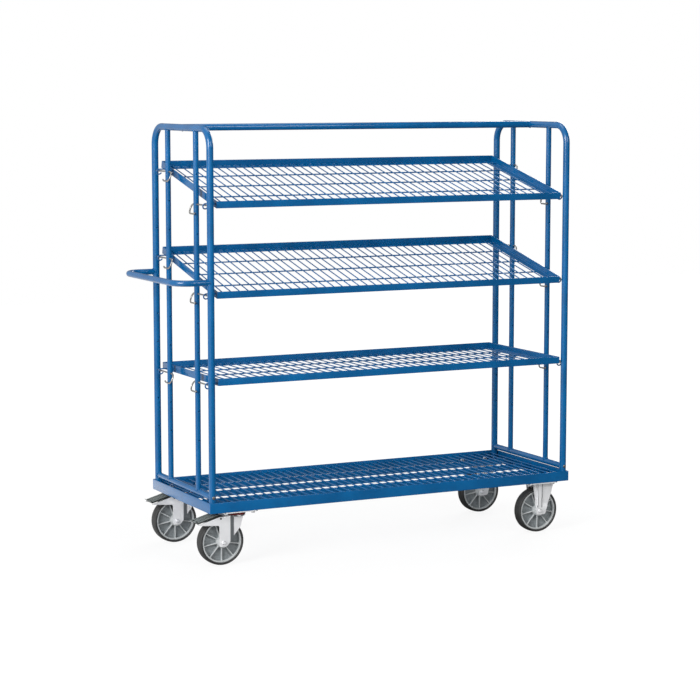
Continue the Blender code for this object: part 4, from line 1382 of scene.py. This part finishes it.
# %% Fixed forks
def fixed_arm(skin, place, out):
    """One arm with a raised channel down its middle, and the bend up to its plate.

    The left edge is nearly upright and the right one slants, from 24 mm at the foot to 62 mm at
    the top. The channel's half width grows from 4 mm to 9.5 mm. The foot's corners are quarter
    circles: an edge at height h above the foot draws in by r - sqrt(r^2 - (r - h)^2).
    """
    top = plate_top - plate_thickness - axle_z - 0.0006 - head_bend
    foot = -0.0145
    corner = 0.006
    channel_slope = 0.0045
    channel_depth = 0.0046
    foot_rows = foot + corner * (1 - np.cos(np.linspace(0, math.pi / 2, 7)))
    rows = np.concatenate([foot_rows, np.linspace(foot + corner, top, 34)[1:]])
    below = np.clip(foot + corner - rows, 0.0, None) / corner
    draw_in = corner * (1 - arc(below))
    left = np.interp(rows, [foot, 0.040, top], [-0.0145, -0.0185, -0.027]) + draw_in
    right = np.interp(rows, [foot, 0.0, 0.060, top], [0.024, 0.0275, 0.0500, 0.062]) - draw_in
    channel = np.interp(rows, [foot, 0.0, top], [0.0040, 0.0060, 0.0095])
    outside = channel + channel_slope
    knots = np.stack([left, -outside, -channel, channel, outside, right], -1)
    knots[:, 1] = np.maximum(knots[:, 1], left + 0.0008)
    between = [start + np.arange(parts) / parts for start, parts in enumerate((6, 6, 8, 6, 16))]
    places = np.append(np.concatenate(between), 5.0)
    x = np.stack([np.interp(places, np.arange(6), line) for line in knots])
    z = rows[:, None]
    rise = 1 - smooth_step(np.abs(places - 2.5), 0.5, 1.5) * smooth_step(rows, 0.008, 0.032)[:, None]
    y = out * (arm_outside - sheet / 2 - channel_depth * (1 - rise))
    arm = at(x, y, z)
    skin.add(arm + place)
    bend = np.linspace(0.0, math.pi / 2, 7)[1:, None]
    rows_y = arm[-1:, :, 1] + out * head_bend * (1 - np.cos(bend))
    rows_z = top + head_bend * np.sin(bend) + np.zeros_like(rows_y)
    skin.add(np.concatenate([arm[-1:], at(arm[-1:, :, 0], rows_y, rows_z)]) + place)


for side, sign in sides.items():
    axle = np.array([axles_x["right"], sign * caster_y, axle_z])
    skin = Skin()
    fixed_arm(skin, axle, -1.0)
    fixed_arm(skin, axle, 1.0)
    make_sheet("fixed_arms_" + side, skin, "chassis", ["fixed_fork_right_" + side])

# %% [markdown]
# ## Brake pedals
#
# The pedal is a ribbed tread between the fork's wings. It has a row of cross ribs on each side of a
# bar down its middle, a raised border and a thin lip turned up at its tip. Its top is a height
# over a grid whose lines fall on the edges of the ribs, so the edges stay crisp.


# %% Pedals
pivot = np.array([-0.011, 0.0, 0.0885])
pedal_length = 0.088
pedal_half = arm_inside - 0.0006
pedal_rise = 0.014
pedal_slab = 0.0045
lip_thickness = 0.0016
pedal_slope = math.atan2(crown_top - axle_z - 0.0025 - wing_tip_z, pivot[0] - wing_tip - 0.008)
rib_count = 11
rib_step = 0.0068
ridge_rise = 0.0024
lip_bend = 0.0085
lug_half = 0.0078
lug_low = -0.0019
lug_high = 0.0105


# The tops of the ribs and the border are painted grey over the black lacquer, a painted highlight.
# The height above the tread is the distance along the pedal's normal, (-sin(slope), 0, cos(slope)),
# from the pivot.
lacquer = Finish("black_lacquer")
speck = lacquer.noise(700.0, 3.0)
pedal_normal = np.array([-math.sin(pedal_slope), 0.0, math.cos(pedal_slope)])
height_above = lacquer.dot(lacquer.place, pedal_normal)
pivot_height = float(np.dot(pedal_normal, [axles_x["left"] + pivot[0], 0.0, axle_z + pivot[2]]))
painted_highlight = lacquer.ramp(height_above, pivot_height + pedal_rise + 0.0008, pivot_height + pedal_rise + 0.0019)
dark = lacquer.mix(speck, (0.012, 0.016, 0.015, 1.0), (0.032, 0.038, 0.036, 1.0))
lacquer.set("Base Color", lacquer.mix(painted_highlight, dark, (0.21, 0.235, 0.225, 1.0)))
lacquer.set("Roughness", 0.35 + speck * 0.2)
lacquer.bump(speck, 0.00005)
pedal_black = lacquer.material


def ridge_lines(middles, half, slope):
    """Positions and heights of a row of ridges: 0, 1, 1, 0 at the two feet and the two edges of each."""
    middles = np.asarray(middles, float)[:, None]
    places = middles + np.array([-half - slope, -half, half, half + slope])
    return places.ravel(), np.tile([0.0, 1.0, 1.0, 0.0], len(places))


for side, sign in sides.items():
    axle = np.array([axles_x["left"], sign * caster_y, axle_z])
    rib_middles = -pedal_length + 0.009 + np.arange(rib_count) * rib_step
    along_places, along_heights = ridge_lines(rib_middles, 0.0012, 0.0005)
    tip_places = np.array([0.0, 0.0012, 0.0020]) - pedal_length
    us = np.concatenate([tip_places, along_places, [-0.002, 0.0]])
    rib = np.concatenate([[0.0, 0.0, 0.0], along_heights, [0.0, 0.0]])
    half = pedal_half
    edge_places = np.array([0.0, 0.0006, 0.0020, 0.0026, 0.0032]) - half
    vs = np.concatenate([edge_places, [-0.0030, -0.0022, -0.0016]])
    border = np.array([0.0, 1.0, 1.0, 0.0, 0.0, 0.0, 0.0, 1.0])
    in_row = np.array([0.0, 0.0, 0.0, 0.0, 1.0, 1.0, 0.0, 0.0])
    vs = np.concatenate([vs, -vs[::-1]])
    border = np.concatenate([border, border[::-1]])
    in_row = np.concatenate([in_row, in_row[::-1]])
    rise = np.maximum(ridge_rise * border[None], ridge_rise * rib[:, None] * in_row[None])
    rise[-1] = 0.0
    top = pedal_rise + rise
    upper = at(us[:, None], vs[None], top)
    lower = at(us[:, None], vs[None], pedal_rise - pedal_slab)[:, ::-1]
    skin = Skin()
    skin.add(np.concatenate([upper, lower], axis=1), closed=True)
    for end in (0, -1):
        skin.add(np.stack([upper[end], lower[end, ::-1]]))

    # The lip at the tip, turned up in a quarter circle
    turn = np.linspace(0.0, math.radians(80), 9)
    tip = -pedal_length + 0.003
    lip_rise = pedal_rise - 0.0005 + lip_bend * (1 - np.cos(turn))
    inner = np.stack([tip - lip_bend * np.sin(turn), lip_rise], -1)
    outer = inner - np.stack([-np.sin(turn), np.cos(turn)], -1) * lip_thickness
    loop = np.concatenate([inner, outer[::-1]])
    lip_y = np.array([-half, half])
    lip = at(loop[None, :, 0], lip_y[:, None], loop[None, :, 1])
    skin.add(lip, closed=True)
    for y in lip_y:
        pair = [at(edge[:, 0], y, edge[:, 1]) for edge in (inner, outer)]
        skin.add(np.stack(pair))
    tilt = turn_matrix(pedal_slope, 0, 2)
    skin.points = [points @ tilt.T + pivot + axle for points in skin.points]

    # The lug round the pivot pin, and the pin's two ends
    ends = [(0.0, -half, 0.0), (0.0, half, 0.0)]
    corners = [(-lug_half, lug_low), (lug_half, lug_low), (lug_half, lug_high), (-lug_half, lug_high)]
    lug = rounded(corners, 0.0018, steps=5, closed=True)
    sweep(skin, np.asarray(ends) + pivot + axle, lug, z_axis)
    rod(skin, pivot + axle, arm_outside + 0.0012, 0.0036, 0.0006, 24)
    name = "pedal_" + side
    make_piece(name, skin, "brake_" + side, ["brake_pedal_left_" + side], pedal_black, 30.0)

# %% [markdown]
# ## Wheels
#
# The wheel's centre is one moulding: a hub, a thin web, a ring and nine ribs on each face. Its
# face is a height over polar lines. The lines beside a rib keep their distance from the rib's
# middle, at the angle asin(distance / radius), so the rib is as wide at the ring as at the hub.
# The tyre is a turned band with rounded shoulders and a slightly crowned tread.


# %% Wheel face
rib_total = 9
rib_start = math.radians(270)
rim_radius = 0.0755
rim_half = 0.018
hub_radius = 0.020
hub_half = 0.030
web_half = 0.0035
rib_half = 0.0024
rib_rise = 0.0130


def wheel_face(out):
    """One face of the wheel's centre as (radius, angle, height) lines, for a wheel that turns about y.

    height = max of the web, the ribs, the ring and the hub, each with its own sloped side.
    """
    offsets = np.array([-0.0040, -0.0027, -rib_half + 0.0008, 0.0, rib_half - 0.0008, 0.0027, 0.0040])
    rib_profile = np.array([0.0, 0.45, 0.94, 1.0, 0.94, 0.45, 0.0])
    hub_lines = [0.0064, 0.0072, 0.0160, 0.0188, 0.0200, 0.0208, 0.0225]
    web_lines = [0.027, 0.036, 0.046, 0.056, 0.0635]
    ring_lines = [0.0672, 0.0690, 0.0698, 0.0705, 0.0738, 0.0750, rim_radius]
    radii = np.array(hub_lines + web_lines + ring_lines)
    ring = np.interp(radii, [0.0670, 0.0698, 0.0705, 0.0740, rim_radius], [0.0, 0.85, 1.0, 1.0, 0.93])
    hub_places = [0.0064, 0.0072, 0.0186, hub_radius, 0.0210, 0.0225]
    hub = np.interp(radii, hub_places, [0.96, 1.0, 1.0, 0.95, 0.35, 0.0])
    web = web_half + 0.0022 * np.interp(radii, [0.020, 0.036, 0.056, 0.069], [1.0, 0.35, 0.0, 0.6])
    rib_top = rib_rise + 0.0035 * np.interp(radii, [0.020, 0.042, 0.064, 0.069], [1.0, 0.3, 0.2, 0.9])
    sector = 2 * math.pi / rib_total
    spread = np.arcsin(np.clip(offsets[None] / radii[:, None], -0.6, 0.6))
    between = np.linspace(0.0, 1.0, 9)[1:-1]
    gap = spread[:, -1:] + (sector + spread[:, :1] - spread[:, -1:]) * between
    angle = np.concatenate([spread, gap], axis=1)
    blade = np.concatenate([rib_profile, np.zeros(len(between))])
    web_and_rib = web[:, None] + (rib_top - web)[:, None] * blade[None]
    in_web = ((radii > 0.0195) & (radii < 0.0703))[:, None]
    height = np.where(in_web, web_and_rib, web[:, None])
    height = np.maximum(height, (ring * rim_half)[:, None])
    height = np.maximum(height, (hub * hub_half)[:, None])
    turns = rib_start + sector * np.arange(rib_total)
    angle = (turns[None, :, None] + angle[:, None]).reshape(len(radii), -1)
    height = np.tile(height, rib_total)
    x = radii[:, None] * np.cos(angle)
    z = radii[:, None] * np.sin(angle)
    return at(x, out * height, z)


# %% Wheels and tyres
tread_half = 0.021
shoulder = 0.0045
crown = 0.0010
axle_washer = 0.0082
axle_washer_height = 0.0010
axle_head = 0.0125
axle_head_height = 0.0036

for end, x in axles_x.items():
    for side, sign in sides.items():
        name = end + "_" + side
        axle = np.array([x, sign * caster_y, axle_z])
        skin = Skin()
        near = wheel_face(-1.0)
        far = wheel_face(1.0)
        for face in (near, far):
            skin.add(face + axle, closed=True)
        for row in (0, -1):
            skin.add(np.stack([near[row], far[row]]) + axle, closed=True)
        wheel = "wheel_" + name
        make_piece("wheel_centre_" + name, skin, wheel, ["rim_" + name], wheel_grey, 32.0)

        # The tyre's profile: inner face, side wall with a moulded ring, shoulder and crowned tread
        bend = np.linspace(0.0, math.pi / 2, 7)
        inner = rim_radius + 0.0003
        wall = [(0.0, 0.0), (0.0, 0.0178), (0.0007, 0.0190), (0.0020, 0.0195), (0.0026, 0.0205)]
        wall = np.array(wall) + (inner, 0.0)
        middle_radius = wheel_radius - crown - shoulder
        middle_y = tread_half - shoulder
        curve = np.stack([middle_radius + shoulder * np.sin(bend), middle_y + shoulder * np.cos(bend)], -1)
        tread_y = np.linspace(middle_y, 0.0, 6)[1:]
        tread = np.stack([wheel_radius - crown * (tread_y / middle_y) ** 2, tread_y], -1)
        near = np.concatenate([wall, curve, tread])
        profile = np.concatenate([near, near[-2:0:-1] * np.array([1.0, -1.0]), near[:1]])
        skin = Skin()
        turned(skin, profile, axle, y_axis, 96)
        make_piece("tyre_band_" + name, skin, wheel, ["tyre_" + name], tyre_black, 50.0)

        # The axle bolt: its shank, washers, head and nut
        body = "caster_" + side if end == "left" else "chassis"
        skin = Skin()
        rod(skin, axle, arm_outside + 0.006, 0.0058, 0.0008, 28)
        for out in (-y_axis, y_axis):
            seat = axle + (arm_outside + 0.0001) * out
            washer(skin, seat, out, 0.0, axle_washer, axle_washer_height)
            hexagon(skin, seat + axle_washer_height * out, out, axle_head, axle_head_height, start=0.35)
        make_piece("axle_bolt_" + name, skin, body, ["axle_" + name], zinc)

# %% [markdown]
# ## Floor, backdrop and light
#
# The trolley stands in a plain white studio. The floor takes its shadow, but for the camera it's
# mostly its own soft white, so that the background is as pale as in the photograph. The main lamp
# is a large soft one to the left. A wide one in front and one above keep the blue clear, and one
# behind lights the back and the right end. In reflections the studio is bright to the
# left and dark to the right, which puts a light line on one side of each tube.


# %% Floor and world
bright_way = (-1.0, 0.15, 0.0)
bright_spot = (-1.0, 0.6, 0.0)
darkest = 0.04
brightest = 0.85
near_brightest = 1.5
near_share = 0.82
mirrored_share = 0.96
shadow_until = 0.9
white_from = 2.0
seen_white = 1.08
ambient = 0.35
side_reach = 0.6
floor_half = 9.0
floor_z = -0.0005

floor_finish = Finish("studio_floor")
paper = floor_finish.noise(3.0, 2.0)
floor_finish.set("Base Color", floor_finish.mix(paper, grey(0.55), grey(0.57)))
floor_finish.set("Roughness", 0.9)
seen = floor_finish.node("ShaderNodeLightPath", output="Is Camera Ray")
mirrored = floor_finish.node("ShaderNodeLightPath", output="Is Glossy Ray")
floor_spot = floor_finish.dot(floor_finish.place, bright_spot)
place = {0: floor_finish.place}
flat_place = floor_finish.node("ShaderNodeVectorMath", {"operation": "LENGTH"}, place, "Value")
fading = floor_finish.ramp(flat_place, 1.9, 3.0) * (brightest - near_brightest) + near_brightest
lit = floor_finish.ramp(floor_spot, 0.3, 1.5) * fading + darkest
power = seen * seen_white + mirrored * lit
glow = {"Color": grey(1.0), "Strength": power}
glow = floor_finish.node("ShaderNodeEmission", inputs=glow, output="Emission")
shown = Wire(floor_finish.tree, floor_finish.shader.outputs[0])
far = floor_finish.ramp(flat_place, shadow_until, white_from)
glow_share = seen * (far * (1 - near_share) + near_share) + mirrored * mirrored_share
blend = floor_finish.node("ShaderNodeMixShader", inputs={0: glow_share, 1: shown, 2: glow})
surface = floor_finish.tree.nodes["Material Output"].inputs["Surface"]
join_socket(floor_finish.tree, surface, blend)

reach = np.linspace(-floor_half, floor_half, 3)
floor_x, floor_y = np.meshgrid(reach, reach, indexing="ij")
corners = at(floor_x, floor_y, floor_z).reshape(-1, 3)
number = np.arange(len(corners)).reshape(floor_x.shape)
mesh = bpy.data.meshes.new("floor")
faces = np.stack([number[:-1, :-1], number[1:, :-1], number[1:, 1:], number[:-1, 1:]], -1).reshape(-1, 4)
mesh.from_pydata(corners.tolist(), [], faces.tolist())
mesh.materials.append(floor_finish.material)
floor = bpy.data.objects.new("floor", mesh)
bpy.context.scene.collection.objects.link(floor)

world = bpy.data.worlds.new("studio")
bpy.context.scene.world = world
world.use_nodes = True
studio = Graph(world.node_tree)
sky = world.node_tree.nodes["Background"]
sky.inputs["Color"].default_value = grey(1.0)
kinds = ("Is Camera Ray", "Is Glossy Ray", "Is Transmission Ray")
seen, mirrored, passed = (studio.node("ShaderNodeLightPath", output=kind) for kind in kinds)
toward = studio.node("ShaderNodeTexCoord", output="Generated")
facing = studio.dot(toward, bright_way)
bright_side = studio.ramp(facing, -side_reach, side_reach, darkest, brightest)
white = (seen + passed) * (1.0 - ambient) + mirrored * (bright_side - ambient) + ambient
join_socket(world.node_tree, sky.inputs["Strength"], white)
print("floor and world ready")


# %% Lamps
def soft_lamp(name, place, aim, width, height, power):
    """A rectangular lamp at a place, turned to a point."""
    light = bpy.data.lights.new(name, "AREA")
    light.shape = "RECTANGLE"
    light.size = width
    light.size_y = height
    light.energy = power
    lamp = bpy.data.objects.new(name, light)
    lamp.location = place
    ahead = np.asarray(aim, float) - np.asarray(place, float)
    flat = math.hypot(ahead[0], ahead[1])
    lamp.rotation_euler = (math.atan2(flat, -ahead[2]), 0.0, math.atan2(-ahead[0], ahead[1]))
    bpy.context.scene.collection.objects.link(lamp)
    return lamp


soft_lamp("main_lamp", (-6.2, -3.0, 3.4), (0.0, 0.0, 0.8), 3.0, 3.6, 540.0)
soft_lamp("front_lamp", (1.2, -5.4, 3.4), (0.4, 0.0, 0.7), 3.0, 2.0, 125.0)
soft_lamp("rear_lamp", (4.6, 3.4, 3.0), (0.0, 0.0, 0.8), 3.0, 2.5, 150.0)
soft_lamp("top_lamp", (0.0, 0.5, 4.5), (0.0, 0.0, 0.6), 3.0, 2.0, 40.0)
bpy.context.scene.view_settings.view_transform = "Standard"
print("lamps ready")
